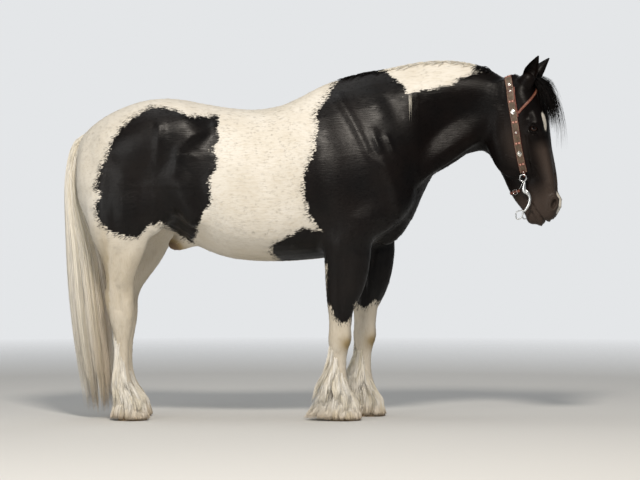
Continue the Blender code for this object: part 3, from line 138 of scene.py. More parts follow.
# Muscles and bones that show through the skin, as long rounded masses on the left side:
# start, end, half width, half thickness, blend
BODY_MUSCLES = {
    "shoulder_blade": ((0.16, 0.11, 1.56), (0.43, 0.195, 1.12), 0.085, 0.05, 0.08),
    "triceps": ((0.04, 0.19, 1.32), (0.15, 0.222, 0.93), 0.12, 0.062, 0.06),
    "upper_arm": ((0.46, 0.165, 1.13), (0.2, 0.215, 0.94), 0.09, 0.065, 0.06),
    "breast": ((0.49, 0.075, 1.17), (0.37, 0.085, 0.92), 0.075, 0.062, 0.05),
    "neck_side": ((0.88, 0.062, 1.5), (0.48, 0.155, 1.23), 0.07, 0.042, 0.06),
    "crest": ((0.86, 0.03, 1.68), (0.4, 0.07, 1.62), 0.09, 0.07, 0.06),
    "croup_muscle": ((-0.62, 0.17, 1.48), (-1.04, 0.15, 1.33), 0.14, 0.125, 0.07),
    "thigh_front": ((-0.73, 0.205, 1.33), (-0.82, 0.22, 0.98), 0.1, 0.078, 0.06),
    "thigh_back": ((-0.99, 0.15, 1.4), (-1.03, 0.19, 0.93), 0.12, 0.1, 0.06),
    "buttock": ((-1.12, 0.1, 1.37), (-1.125, 0.135, 1.06), 0.075, 0.08, 0.05),
    "point_of_hip": ((-0.67, 0.24, 1.48), (-0.6, 0.255, 1.43), 0.06, 0.045, 0.07),
    "flank": ((-0.7, 0.25, 1.25), (-0.6, 0.27, 1.02), 0.06, 0.06, 0.08),
    "sheath": ((-0.6, 0.004, 0.925), (-0.715, 0.004, 0.885), 0.036, 0.036, 0.04),
}
FOREARM_MUSCLE = ((0.245, 0.212, 0.88), (0.185, 0.195, 0.6), 0.06, 0.048, 0.04)
GASKIN_MUSCLE = ((-0.86, 0.212, 0.96), (-0.995, 0.182, 0.68), 0.06, 0.044, 0.04)
HOCK_POINT = ((-1.036, 0.16, 0.65), (-1.02, 0.158, 0.56), 0.024, 0.024, 0.03)
KNEE_BONE = ((0.16, 0.167, 0.45), (0.158, 0.165, 0.385), 0.03, 0.044, 0.02)

# The same in the head's own frame: u, sideways, v
HEAD_MASSES = {
    "jowl": ((0.22, 0.07, -0.095), (0.46, 0.064, -0.11), 0.098, 0.036, 0.03),
    "brow": ((0.245, 0.08, 0.074), (0.312, 0.08, 0.082), 0.024, 0.024, 0.03),
    "ear_base": ((0.08, 0.05, 0.06), (0.04, 0.056, 0.096), 0.044, 0.036, 0.03),
    "temple": ((0.1, 0.07, 0.03), (0.24, 0.08, 0.04), 0.04, 0.03, 0.04),
    "cheek_bone": ((0.34, 0.08, 0.016), (0.5, 0.056, 0.004), 0.016, 0.016, 0.03),
    "lower_eye_rim": ((0.305, 0.086, 0.026), (0.345, 0.08, 0.05), 0.014, 0.016, 0.03),
    "nose_side": ((0.42, 0.04, 0.07), (0.62, 0.04, 0.06), 0.026, 0.022, 0.03),
    "nostril_wing": ((0.655, 0.038, 0.06), (0.722, 0.036, 0.036), 0.026, 0.022, 0.03),
    "upper_lip": ((0.705, 0.0, 0.03), (0.752, 0.0, 0.004), 0.032, 0.042, 0.03),
    "lower_lip": ((0.74, 0.0, -0.052), (0.772, 0.0, -0.036), 0.022, 0.036, 0.02),
    "chin": ((0.722, 0.0, -0.08), (0.748, 0.0, -0.078), 0.028, 0.03, 0.02),
}

# Right hooves: toe, heel and coronet in the side view, sideways place, half widths at ground and coronet
FORE_HOOF = {
    "toe": (0.24, 0.0), "heel": (0.076, 0.0), "front": (0.214, 0.088), "back": (0.096, 0.05),
    "y": 0.157, "ground": 0.078, "coronet": 0.06,
}
HIND_HOOF = {
    "toe": (-0.838, 0.0), "heel": (-0.99, 0.0), "front": (-0.862, 0.088), "back": (-0.978, 0.05),
    "y": 0.152, "ground": 0.073, "coronet": 0.057,
}

# Ears in the head's own frame (u, sideways, v): root and tip, and the half widths along the ear
EAR_ROOT = (0.06, 0.054, 0.08)
EAR_TIP = (-0.046, 0.08, 0.172)
FAR_EAR_TIP = (-0.034, 0.072, 0.196)
EAR_WIDTHS = (
    (0.0, 0.03), (0.18, 0.036), (0.38, 0.037), (0.6, 0.028), (0.8, 0.016), (0.93, 0.008), (1.0, 0.003),
)
EAR_WALL = 0.006
# How much an ear's cup turns to the face, and outwards
EAR_FACING = (0.55, 0.75)

# Eyes: centre in the head's own frame, radius, and the opening between the lids
EYE_PLACE = (0.304, 0.0885, 0.056)
EYE_RADIUS = 0.024
LID_THICKNESS = 0.0045
EYE_OPENING = (0.023, 0.0145)
EYE_TILT = math.radians(-28)

# The cleft under the tail: start, end, half width, half thickness, blend
CLEFT = ((-1.245, 0.0, 1.33), (-1.215, 0.0, 1.02), 0.075, 0.055, 0.03)

# Depth of the short coat, which the skin lies inside the solids by
COAT_DEPTH = 0.003

# Triangles on the skin, the head's own not counted, and the region that keeps all of its own
BODY_TRIANGLES = 64000
HEAD_REGION = (0.9, 1.2)
HEAD_FROM = HEAD_REGION[0]

# The photograph's camera, where the horse was drawn: metres to a pixel at the horse, place, what it looks at,
# and pixels for a metre a metre away
PIXEL = 0.0051
CAMERA_PLACE = (0.03315, -16.0, 1.15)
CAMERA_LOOKS_AT = (0.03315, 0.0, 0.9078)
PIXEL_SCALE = 16.0 / PIXEL
FRAME_SIZE = (640, 480)
SENSOR = 36.0

# Edges of the black coat on the horse's right side, in the photograph's pixels
RIGHT_BLACK = (
    (339, 40), (339, 76.5), (332.5, 90), (323, 104), (316, 115.8), (320, 122), (315.4, 138), (316, 150.5),
    (308.4, 163), (305, 176), (304.4, 188), (309, 213), (322, 232), (306, 228), (292, 233.6), (281, 241.6),
    (272, 245), (271.6, 251.4), (281, 262), (322, 262), (327, 262), (326, 300), (331, 307), (335, 318),
    (341, 323), (348, 323), (353, 315), (355, 304), (372, 300), (420, 300), (700, 300), (700, 20), (520, 20),
    (481, 64), (480, 72), (464, 76.5), (454, 83.5), (430, 90.5), (426, 89), (412, 92), (404, 96), (406, 86),
    (398, 80.7), (390, 76.5), (384, 66), (384, 40),
)
RIGHT_HIP = (
    (152.9, 106.8), (136.8, 115.7), (127.9, 121), (113.6, 139), (106.4, 157), (102.9, 166), (98.4, 180),
    (96.6, 189), (103.8, 192.5), (95.7, 205), (98.4, 219), (113.6, 233.6), (128, 237), (138.6, 237),
    (149.3, 224.6), (160, 222), (177, 233), (193, 243.4), (199.3, 221), (210.9, 201.4), (209, 180),
    (215.4, 169), (217, 157), (210, 148), (218.9, 140.7), (217, 128), (219.8, 116.6), (206.4, 115.7),
    (188.6, 116.6), (181.4, 113), (167, 107.7),
)
# The far side isn't seen: its edges are guessed, but for the far foreleg's
LEFT_BLACK = (
    (339, 40), (339, 76.5), (330, 92), (322, 112), (330, 130), (320, 150), (326, 168), (312, 190), (318, 212),
    (332, 236), (340, 262), (352, 262), (355, 303), (357, 305.6), (367, 307), (373.5, 300.7), (378, 301),
    (420, 300), (700, 300), (700, 20), (520, 20), (481, 64), (476, 78), (462, 96), (440, 108), (416, 112),
    (398, 100), (390, 82), (384, 66), (384, 40),
)
LEFT_HIP = (
    (166, 122), (180, 114), (200, 118), (208, 138), (202, 160), (209, 184), (198, 206), (182, 216),
    (164, 208), (150, 192), (146, 170), (134, 160), (138, 142), (152, 136),
)
# White marks on the face: middle (down the head, sideways), half length and half width
STAR = (0.278, -0.052, 0.046, 0.017)
SNIP = (0.69, 0.018, 0.052, 0.017)

# Relief that the muscles, bones and veins raise: a line in the side view (x, z), height and radius
BODY_RIDGES = {
    "blade_spine": (
        ((0.128, 1.629), (0.203, 1.5), (0.278, 1.338), (0.354, 1.274), (0.397, 1.177), (0.419, 1.059)),
        0.0065, 0.024,
    ),
    "blade_streaks": (((0.311, 1.414), (0.332, 1.36)), 0.0045, 0.013),
    "blade_streak": (((0.375, 1.425), (0.397, 1.36)), 0.0045, 0.013),
    "blade_front": (((0.3, 1.45), (0.345, 1.34), (0.42, 1.16), (0.45, 0.95)), 0.0059, 0.027),
    "neck_root": (((0.365, 1.43), (0.415, 1.33)), 0.0046, 0.022),
    "neck_pad": (((0.32, 1.585), (0.345, 1.54)), 0.0052, 0.046),
    "blade_back": (((0.02, 1.56), (0.11, 1.33), (0.13, 1.12)), 0.0039, 0.047),
    "hip_edge": (((-0.497, 1.479), (-0.61, 1.43), (-0.671, 1.367), (-0.691, 1.25)), 0.0075, 0.024),
    "thigh_edge": (((-0.768, 1.479), (-0.785, 1.287)), 0.006, 0.024),
    "stifle": (((-0.59, 1.01), (-0.64, 0.96)), 0.0052, 0.061),
    "neck_strap": (((0.82, 1.4), (0.66, 1.33), (0.52, 1.18)), 0.0059, 0.047),
    "rib_arch": (((-0.43, 0.96), (-0.2, 0.92), (0.0, 0.96)), 0.0026, 0.081),
}
BODY_GROOVES = {
    "jugular": (((0.79, 1.385), (0.68, 1.29), (0.56, 1.13)), 0.0052, 0.024),
    "triceps_edge": (((0.02, 1.33), (0.06, 1.12), (0.13, 0.96)), 0.0033, 0.041),
    "ham_line": (((-1.01, 1.3), (-1.02, 1.1), (-0.985, 0.93)), 0.0059, 0.035),
    "flank_hollow": (((-0.54, 1.42), (-0.56, 1.33)), 0.0091, 0.095),
    "flank_fold": (((-0.56, 1.2), (-0.54, 1.06), (-0.58, 0.93)), 0.0039, 0.041),
    "neck_base": (((0.38, 1.64), (0.44, 1.48), (0.52, 1.3)), 0.0039, 0.047),
}
# The same on the legs, along each leg and the same on both of its sides
LEG_RIDGES = {
    "forearm": (((0.215, 0.84), (0.2, 0.64)), 0.006, 0.024),
    "knee_top": (((0.172, 0.462), (0.176, 0.398)), 0.005, 0.02),
    "fore_tendon": (((0.098, 0.34), (0.1, 0.22)), 0.004, 0.01),
    "gaskin": (((-0.9, 0.88), (-0.955, 0.7)), 0.006, 0.024),
    "hock_bone": (((-0.935, 0.59), (-0.93, 0.52)), 0.006, 0.02),
    "hind_tendon": (((-0.992, 0.46), (-0.988, 0.24)), 0.004, 0.01),
}
LEG_GROOVES = {
    "forearm_line": (((0.13, 0.82), (0.14, 0.56)), 0.006, 0.016),
    "fore_cannon": (((0.12, 0.34), (0.122, 0.22)), 0.005, 0.01),
    "gaskin_line": (((-0.985, 0.86), (-1.0, 0.68)), 0.008, 0.018),
    "hock_hollow": (((-0.985, 0.66), (-0.98, 0.56)), 0.008, 0.014),
    "hind_cannon": (((-0.97, 0.47), (-0.968, 0.24)), 0.005, 0.01),
}
# And on the head, in its own frame (u, v)
HEAD_RIDGES = {
    "cheek_bone": (((0.33, 0.018), (0.42, 0.008), (0.52, -0.004)), 0.005, 0.01),
    "nose_edge": (((0.33, 0.088), (0.45, 0.082), (0.59, 0.066)), 0.004, 0.012),
    "nostril_rim": (((0.658, 0.062), (0.676, 0.076), (0.704, 0.07), (0.722, 0.048)), 0.006, 0.008),
    "nostril_back": (((0.655, 0.056), (0.672, 0.04), (0.7, 0.03), (0.722, 0.034)), 0.004, 0.007),
    "upper_lid_fold": (((0.288, 0.04), (0.272, 0.058), (0.28, 0.078)), 0.004, 0.007),
    "lower_lid_fold": (((0.312, 0.028), (0.334, 0.04), (0.342, 0.06)), 0.003, 0.006),
    "jaw_edge": (((0.17, -0.1), (0.3, -0.15), (0.42, -0.14)), 0.005, 0.026),
    "upper_lip": (((0.61, -0.058), (0.68, -0.038), (0.745, -0.012)), 0.004, 0.01),
    "lower_lip": (((0.62, -0.082), (0.69, -0.064), (0.75, -0.04)), 0.004, 0.009),
    "face_vein": (((0.4, -0.11), (0.44, -0.05), (0.45, -0.004), (0.5, 0.03)), 0.0028, 0.005),
    "nose_vein": (((0.45, -0.004), (0.52, 0.012), (0.58, 0.022)), 0.0022, 0.004),
}
HEAD_GROOVES = {
    "eye_hollow": (((0.235, 0.052), (0.215, 0.06)), 0.009, 0.02),
    "mouth": (
        ((0.588, -0.078), (0.64, -0.064), (0.7, -0.044), (0.745, -0.026), (0.775, -0.014)), 0.008, 0.0045,
    ),
    "chin_groove": (((0.69, -0.092), (0.712, -0.07)), 0.006, 0.01),
    "cheek_line": (((0.47, -0.13), (0.51, -0.08), (0.54, -0.03)), 0.006, 0.018),
    "false_nostril": (((0.6, 0.052), (0.65, 0.058)), 0.004, 0.01),
}
# What is carved out for a nostril: start, end, half width, half thickness, blend
NOSTRIL_PIT = ((0.676, 0.062, 0.066), (0.712, 0.056, 0.042), 0.01, 0.024, 0.006)

# The tail: where it leaves the body, and its course from dock to tips (x, z, half depth, half width)
TAIL_EDGE = -1.17
TAIL_COURSE = (
    (-1.118, 1.436, 0.044, 0.044), (-1.166, 1.42, 0.042, 0.044), (-1.204, 1.372, 0.038, 0.042),
    (-1.224, 1.29, 0.036, 0.043), (-1.23, 1.2, 0.041, 0.047), (-1.214, 1.05, 0.056, 0.06),
    (-1.173, 0.86, 0.092, 0.07), (-1.148, 0.64, 0.104, 0.074), (-1.12, 0.4, 0.106, 0.072),
    (-1.092, 0.18, 0.1, 0.07), (-1.076, 0.006, 0.088, 0.068),
)
# Its locks, the hairs of each, and the share of its width that they grow from
TAIL_LOCKS = 80
TAIL_HAIRS = 30
TAIL_CORE = 0.42

# The bridle, where its solids have it
CHEEK_PLACES = (
    (0.075, -0.01), (0.134, -0.017), (0.226, -0.024), (0.3, -0.032), (0.363, -0.04), (0.44, -0.047),
    (0.5, -0.052),
)
CROWN_CENTRE = (0.085, -0.011)
STRAP_WIDTH = 0.038
STRAP_THICKNESS = 0.0045
STRAP_LIFT = 0.0022
STRAP_FACE = STRAP_LIFT + STRAP_THICKNESS
STRAP_STEP = 0.006
THIN_STRAP = 0.0035
THIN_LIFT = STRAP_LIFT - 0.0005
STRAP_SECTION = (
    (1.0, 0.4), (0.97, 0.72), (0.9, 0.9), (0.6, 0.98), (0.2, 1.0), (-0.2, 1.0), (-0.6, 0.98), (-0.9, 0.9),
    (-0.97, 0.72), (-1.0, 0.4), (-0.95, 0.08), (-0.8, 0.0), (0.8, 0.0), (0.95, 0.08),
)
MOTIF_PERIOD = 0.107
SEAM_INSET = 0.0038
STITCH_STEP = 0.0052
STITCH_SIZE = (0.0018, 0.0006, 0.0005)
BROWBAND_WIDTH = 0.014
BROWBAND_SIDE = (0.208, 0.004)
BROWBAND_FRONT = (0.108, 0.03)
# The bit, in the head's own frame: how far aside it is, its courses, and its bars' half thickness
BIT_SIDE = 0.084
BIT_BAR = 0.003
BIT_RING = (0.529, -0.06)
BIT_RING_SIZE = 0.017
BIT_SHANK = (
    (0.553, -0.058), (0.572, -0.066), (0.592, -0.07), (0.61, -0.056), (0.634, -0.052), (0.66, -0.062),
    (0.68, -0.08), (0.694, -0.098),
)
BIT_SHANK_TOP = (0.545, -0.0595)
BIT_BOSS = (0.607, -0.06)
CURB_HOOK = (
    ((0.546, -0.064), 0.084), ((0.556, -0.072), 0.0875), ((0.57, -0.084), 0.086), ((0.578, -0.096), 0.079),
)
BIT_EYE = (
    (0.703, -0.144), (0.688, -0.138), (0.684, -0.123), (0.688, -0.102), (0.705, -0.107), (0.721, -0.122),
    (0.724, -0.137), (0.716, -0.145),
)
CURB_CENTRE = (0.585, -0.085)
CURB_WIDTH = 0.014
# Turned profiles of a stud and of a plate: share of the radius, share of the height
STUD_PROFILE = (
    (1.0, -0.5), (1.0, 0.1), (0.93, 0.28), (0.84, 0.2), (0.72, 0.45), (0.5, 0.82), (0.25, 0.97), (0.02, 1.0),
)
PLATE_PROFILE = ((1.0, -0.3), (1.0, 0.25), (0.8, 0.45), (0.62, 0.4), (0.3, 1.0), (0.02, 1.1))
# The end loop's course (along the strap, outwards), and the buckle's (along, across)
END_LOOP = (
    (-0.012, 0.0065), (0.006, 0.0062), (0.019, 0.005), (0.0245, 0.0005), (0.019, -0.003), (0.008, -0.0005),
)
BUCKLE = (
    (-0.01, -0.0105), (0.01, -0.0105), (0.0125, 0.0), (0.01, 0.0105), (-0.01, 0.0105), (-0.0125, 0.0),
)

# Stage and lights
FLOOR_COLOUR = "#d9d9d7"
FLOOR_FADE = (4.0, 9.0)
BACKDROP = "#e4e6e8"
SKY = "#e6e8ea"
SKY_STRENGTH = 0.32
LIGHTS = (
    ("key", (0.2, -6.0, 6.4), (0, 0, 0.9), 1.4, 440, "#fff6ea"),
    ("top", (-1.5, 0.5, 7.0), (-0.2, 0, 1.0), 4.0, 60, "#f6f6f4"),
    ("fill", (-5.0, -6.5, 2.4), (0, 0, 0.9), 4.0, 150, "#f6f4f0"),
    ("back", (2.5, 7.0, 4.5), (0, 0, 0.9), 4.0, 60, "#f2f3f6"),
)

# Names of the sides and ends, by whether left and hind
SIDES = ("right", "left")
ENDS = ("fore", "hind")

# Heights of a hoof's rings, as shares from ground to coronet; how far an eye bulges, and a horn ring's height
HOOF_RINGS = (0.0, 0.0, 0.04, 0.12, 0.3, 0.5, 0.7, 0.86, 0.95, 1.0)
EYE_BULGE = 0.0016
GROWTH_RING = 0.007

# Widths of single hairs at their thickest
HAIR_WIDTHS = {
    "mane": 0.0022, "crest": 0.0014, "wisp": 0.0009, "forelock": 0.0014, "stray": 0.001, "tail": 0.003,
    "feather": 0.0029, "lash": 0.0009,
}

# Mane and crest: how many locks, and where they begin and how far they go along the neck
MANE_LOCKS = 170
MANE_ALONG = (0.26, 0.66)
CREST_ALONG = (0.16, 0.77)
MANE_LENGTH = 0.36
CREST_TUFTS = 260
CREST_LIFTS = (0.003, 0.005, 0.006, 0.005)
# The white wisp that hangs over the black of the neck: along the crest, its height and its locks
WISP_ALONG = (0.48, 0.545)
WISP_HEIGHT = 1.69
WISP_LOCKS = 16
# The forelock's locks, their course (down the head, from it, share of the spread), and how far they spread
FORELOCK_LOCKS = 60
FORELOCK_COURSE = (
    (0.04, 0.07, 0.0), (0.072, 0.132, 0.3), (0.15, 0.176, 0.75), (0.245, 0.172, 1.0), (0.33, 0.142, 1.1),
)
FORELOCK_SPREAD = (-0.05, 0.075)
# Locks and hairs of one leg's feather, and tufts of the coat, over all and along the black
FEATHER_LOCKS = 250
FEATHER_HAIRS = 21
TUFTS = 10000
EDGE_TUFTS = 6000
# A tuft's length, width and rise: on the trunk, how much less on leg and head, and the least and most share
TUFT_SIZES = (
    (0.018, 0.004, 0.01, 0.7, 1.3), (0.0026, 0.0004, 0.0012, 0.7, 1.2), (0.002, 0.0, 0.001, 0.4, 1.3),
)
# The feather's reach at the ground to each side, and how far up the leg it grows, fore and hind
FEATHER = {
    False: {"front": 0.094, "back": 0.226, "out": 0.112, "inside": 0.098, "top": 0.355},
    True: {"front": 0.098, "back": 0.11, "out": 0.11, "inside": 0.097, "top": 0.42},
}

# An unwrap of the horse, part by part: each part's room in the picture (left, bottom, width, height)
CHARTS = {
    "trunk": (0.01, 0.52, 0.58, 0.47), "head": (0.61, 0.52, 0.38, 0.47),
    "fore_right": (0.01, 0.01, 0.18, 0.49), "fore_left": (0.21, 0.01, 0.18, 0.49),
    "hind_right": (0.41, 0.01, 0.18, 0.49), "hind_left": (0.61, 0.01, 0.18, 0.49),
    "tail": (0.81, 0.01, 0.18, 0.49),
}
# A single hair's own room in it
PATCH = 0.003

# Kinds of node that the materials use most
NOISE, MIX, RANGE, MATH = "ShaderNodeTexNoise", "ShaderNodeMix", "ShaderNodeMapRange", "ShaderNodeMath"
BUMP, NAMED = "ShaderNodeBump", "ShaderNodeAttribute"
VECTOR, RAMP = "ShaderNodeVectorMath", "ShaderNodeValToRGB"
SHADER, OUTPUT = "ShaderNodeBsdfPrincipled", "ShaderNodeOutputMaterial"
# Ranges that they share
MIDDLE = {"From Min": 0.3, "From Max": 0.7}
FALLING = {"To Min": 1.0, "To Max": 0.0}

# Streaks of the short hair: how its lie is turned, and streaks to the metre along each turned axis
HAIR_STREAKS = {
    "trunk": ((0, math.radians(-16), 0), (26, 220, 170)),
    "neck": ((0, math.radians(-48), 0), (26, 220, 190)),
    "leg": ((0, 0, 0), (240, 240, 34)),
}
# The coat's gloss on the trunk, and on neck and head; its colours, among them a painted shadow in the white's
# streaks, a face brown that is partly a painted highlight, and a yellow-brown that is partly painted shade
COAT_GLOSS = (0.24, 0.1)
WHITE_COAT = "#ebe6dc"
WHITE_COAT_SHADE = "#ddd6c8"
# Painted shadow laid into the white coat's streaks, for the shade between its hairs
WHITE_COAT_STREAK_SHADOW = "#bdae92"
BLACK_COAT = "#080606"
BLACK_COAT_BROWN = "#110b09"
# Paler brown of the face: partly its own colour, partly a painted highlight on nose ridge and cheek
FACE_BROWN_AND_HIGHLIGHT = "#453b35"
# Yellow-brown of staining at knees and ground, also used as painted shade low on the body and legs and round
# the tail
STAIN_AND_SHADE = "#a08c66"
BARE_SKIN = "#74604a"
# The hair's yellow: staining low on the feathers and tail, and painted shade where the tail lies against the
# legs
HAIR_STAIN_AND_SHADE = "#c59d5f"
WHITE_HAIR = ((0.0, "#e8dfc8"), (0.5, "#f5efe2"), (1.0, "#fdfaf4"))
BLACK_HAIR = ((0.0, "#040303"), (0.6, "#0b0807"), (1.0, "#1a1310"))
IRIS = ((0.0, "#120804"), (0.5, "#2a150a"), (0.72, "#100704"), (0.86, "#2c211d"))
PUPIL = (0.4, 0.2, 1.0)
PUPIL_BLACK = "#020203"
HORN = ((0.3, "#6e5a45"), (0.6, "#a08a6c"))

# Leather: its colours and its thread's, and the tooled pattern's first stud, the swing of its vine,
# and its flowers' way from the middle
TOOLED_LEATHER = "#6a5444"
TOOLED_LEATHER_DARK = "#483529"
LEATHER_PORE = "#38221a"
DYED_RED = "#571c19"
DYED_RED_EDGE = "#4d1714"
VINE_GREEN = "#45512f"
FLOWER_RED = "#93352f"
FLOWER_HEART = "#dfb8a2"
BRIDLE_LEATHER = "#7c4634"
BRIDLE_LEATHER_DARK = "#5d2c21"
BRIDLE_LEATHER_EDGE = "#431a13"
THREAD = "#d9c8a8"
THREAD_SHADE = "#b49a78"
FIRST_STUD = 0.015
VINE_SWING = 0.007
FLOWER_ASIDE = 0.0075
# Metals: name, scratches to the metre, two colours and two roughnesses
NICKEL_SILVER = ("nickel_silver", 700.0, "#e9e6df", "#cfcbc2", 0.16, 0.32)
STAINLESS_STEEL = ("polished_steel", 120.0, "#e8e9e8", "#cfd1d1", 0.16, 0.34)


def unit(rows):
    """The rows, each made one long."""
    return rows / (np.linalg.norm(rows, axis=-1, keepdims=True) + 1e-12)


def turns(count):
    """Angles that divide a full turn evenly."""
    return np.linspace(0, 2 * math.pi, count, endpoint=False)


def ramp(value, start, reach):
    """0 before the start and 1 from a reach beyond it; with a negative reach it falls to 0 at the start."""
    return np.clip((value - start) / reach, 0, 1)


def hump(far, radius):
    """1 in the middle, falling softly to 0 beyond the radius."""
    return np.exp(-((far / radius) ** 2))


def rows_at(places, run, rows):
    """The rows' values at places between them along their run."""
    return np.column_stack([np.interp(places, run, rows[:, k]) for k in range(rows.shape[1])])


def smooth_rows(rows, steps):
    """The rows resampled on a smooth curve through them, this many steps to each span."""
    p = np.asarray(rows, float)
    p = np.vstack([2 * p[0] - p[1], p, 2 * p[-1] - p[-2]])
    out = []
    for a, b, c, d in zip(p, p[1:], p[2:], p[3:]):
        for t in np.arange(steps) / steps:
            cubic = 3 * b - a - 3 * c + d
            out.append(0.5 * (2 * b + (c - a) * t + (2 * a - 5 * b + 4 * c - d) * t**2 + cubic * t**3))
    return np.array(out + [p[-2]])


def ring(top, bottom, y, width, widest, round_top, round_bottom, around):
    """One closed cross-section, from its top and bottom points in the side view."""
    angle = turns(around)
    across, along = np.cos(angle), np.sin(angle)
    power = np.where(along >= 0, 2 / round_top, 2 / round_bottom)
    across = np.sign(across) * np.abs(across) ** power
    rise = np.abs(along) ** power
    middle = bottom + (top - bottom) * widest
    end = np.where(along[:, None] >= 0, top, bottom)
    flat = middle + (end - middle) * rise[:, None]
    return np.column_stack([flat[:, 0], y + width * across, flat[:, 1]])


def tube(rings):
    """(points, quads, triangles) of the closed surface through equal rings."""
    count, around = len(rings), len(rings[0])
    points = np.vstack([*rings, rings[0].mean(0), rings[-1].mean(0)])
    i, j = np.meshgrid(np.arange(count - 1), np.arange(around), indexing="ij")
    a = i * around + j
    b = i * around + (j + 1) % around
    quads = np.stack([a, b, b + around, a + around], -1).reshape(-1, 4)
    j = np.arange(around)
    k = (j + 1) % around
    last = (count - 1) * around
    start = np.column_stack([k, j, np.full(around, count * around)])
    finish = np.column_stack([last + j, last + k, np.full(around, count * around + 1)])
    return points, quads, np.vstack([start, finish])


def trunk_rings():
    """The trunk's and neck's cross-sections."""
    rows = smooth_rows(TRUNK_RIBS, 3)
    return [ring(r[0:2], r[2:4], 0, r[4], r[5], r[6], r[7], 40) for r in rows]


def head_point(u, v, y=0.0):
    """A place in the head's own frame, before the neck is turned."""
    lean = (math.sin(HEAD_LEAN), math.cos(HEAD_LEAN))
    return np.array([POLL[0] + u * lean[0] + v * lean[1], y, POLL[1] - u * lean[1] + v * lean[0]])


def head_rings():
    """The head's cross-sections, before the neck is turned."""
    rings = []
    for r in smooth_rows(HEAD_RIBS, 3):
        top, bottom = head_point(r[0], r[1])[[0, 2]], head_point(r[2], r[3])[[0, 2]]
        rings.append(ring(top, bottom, 0, r[4], r[5], r[6], r[7], 32))
    return rings


def step_of(z, left, hind):
    """How far forward of the right one a left leg stands at this height."""
    rise = ramp(z, HOCK_HEIGHT, STIFLE_HEIGHT - HOCK_HEIGHT)
    return np.where(left, np.where(hind, HIND_STEP * rise * rise * (3 - 2 * rise), FORE_STEP), 0.0)


def leg_rings(ribs, left, hind):
    """A leg's cross-sections, on the asked side and with its step forward."""
    rings = []
    for fx, fz, bx, bz, y, width in smooth_rows(ribs, 3):
        front = np.array([fx + step_of(fz, left, hind), fz])
        back = np.array([bx + step_of(bz, left, hind), bz])
        rings.append(ring(front, back, y if left else -y, width, 0.5, 2.1, 2.1, 20))
    return rings


def mass(start, end, width, thickness, around=20, up=12):
    """(points, quads, triangles) of a long rounded mass from start to end, flattened sideways."""
    start, end = Vector(start), Vector(end)
    along = (end - start).normalized()
    across = along.cross(Vector((0, 1, 0))).normalized()
    turn = Matrix((across, across.cross(along), along))
    half = (end - start).length / 2 + width * 0.5
    angle = turns(around)
    rings = []
    for row in np.linspace(-math.pi / 2, math.pi / 2, up + 1)[1:-1]:
        flat = math.cos(row)
        height = np.full(around, math.sin(row))
        rings.append(np.column_stack([flat * np.cos(angle), flat * np.sin(angle), height]))
    points, quads, triangles = tube(rings)
    points[-2:] = ((0, 0, -1), (0, 0, 1))
    points = points * np.array((width, thickness, half)) @ np.array(turn)
    return points + np.array((start + end) / 2), quads, triangles


def bend(points):
    """Turns the neck and head to the right about upright axes, a little more at each place along the neck."""
    p = np.array(points, float)
    length = BEND_END - BEND_START
    radius = length / BEND_ANGLE
    along = np.clip(p[:, 0] - BEND_START, 0, length)
    turn = along / radius
    beyond = p[:, 0] - BEND_START - along
    x = BEND_START + (radius + p[:, 1]) * np.sin(turn) + beyond * np.cos(turn)
    y = -radius + (radius + p[:, 1]) * np.cos(turn) - beyond * np.sin(turn)
    return np.column_stack([x, y, p[:, 2]])


class Flesh:
    """A grid of signed distances, in which rounded forms melt together."""

    def __init__(self, low, high, cell, reach):
        self.cell = cell
        self.reach = reach
        self.low = np.floor(np.array(low) / cell).astype(int)
        shape = np.ceil(np.array(high) / cell).astype(int) - self.low
        self.field = np.full(shape, reach, np.float32)

    def distances(self, form):
        """The form's distances, and the part of the grid that they cover."""
        points, quads, triangles = form
        grid = openvdb.FloatGrid.createLevelSetFromPolygons(
            np.ascontiguousarray(points, np.float32),
            triangles=np.ascontiguousarray(triangles, np.uint32),
            quads=np.ascontiguousarray(quads, np.uint32),
            transform=openvdb.createLinearTransform(self.cell),
            halfWidth=self.reach / self.cell,
        )
        margin = self.reach / self.cell + 1
        first = np.floor(points.min(0) / self.cell - margin).astype(int)
        last = np.ceil(points.max(0) / self.cell + margin).astype(int)
        first = np.maximum(first, self.low)
        last = np.minimum(last, self.low + self.field.shape)
        values = np.empty(last - first, np.float32)
        grid.copyToArray(values, ijk=tuple(int(i) for i in first))
        place = tuple(slice(a, b) for a, b in zip(first - self.low, last - self.low))
        return values, place

    def add(self, form, blend):
        """Melts a form into the flesh, over about this depth."""
        values, place = self.distances(form)
        here = self.field[place]
        share = np.clip(0.5 + 0.5 * (values - here) / blend, 0, 1)
        self.field[place] = values * (1 - share) + here * share - blend * share * (1 - share)

    def carve(self, form, blend):
        """Takes a form out of the flesh, with an edge as soft as this depth."""
        values, place = self.distances(form)
        here = self.field[place]
        share = np.clip(0.5 - 0.5 * (values + here) / blend, 0, 1)
        self.field[place] = here * (1 - share) - values * share + blend * share * (1 - share)

    def surface(self):
        """(points, quads) of the melted surface, a coat's depth inside."""
        grid = openvdb.FloatGrid(self.reach)
        grid.copyFromArray(self.field, ijk=tuple(int(i) for i in self.low))
        grid.transform = openvdb.createLinearTransform(self.cell)
        return grid.convertToQuads(isovalue=-COAT_DEPTH)


def mirrored(place, left, forward=0.0):
    """The place on the asked side, moved forward by this much."""
    return place[0] + forward, place[1] if left else -place[1], place[2]


def bent(form):
    """The form with the neck's turn."""
    points, quads, triangles = form
    return bend(points), quads, triangles


def head_mass(left, start, end, width, thickness):
    """A rounded mass given in the head's own frame, on the asked side of the turned head."""
    near, far = (head_point(p[0], p[2], p[1] if left else -p[1]) for p in (start, end))
    return bent(mass(near, far, width, thickness))


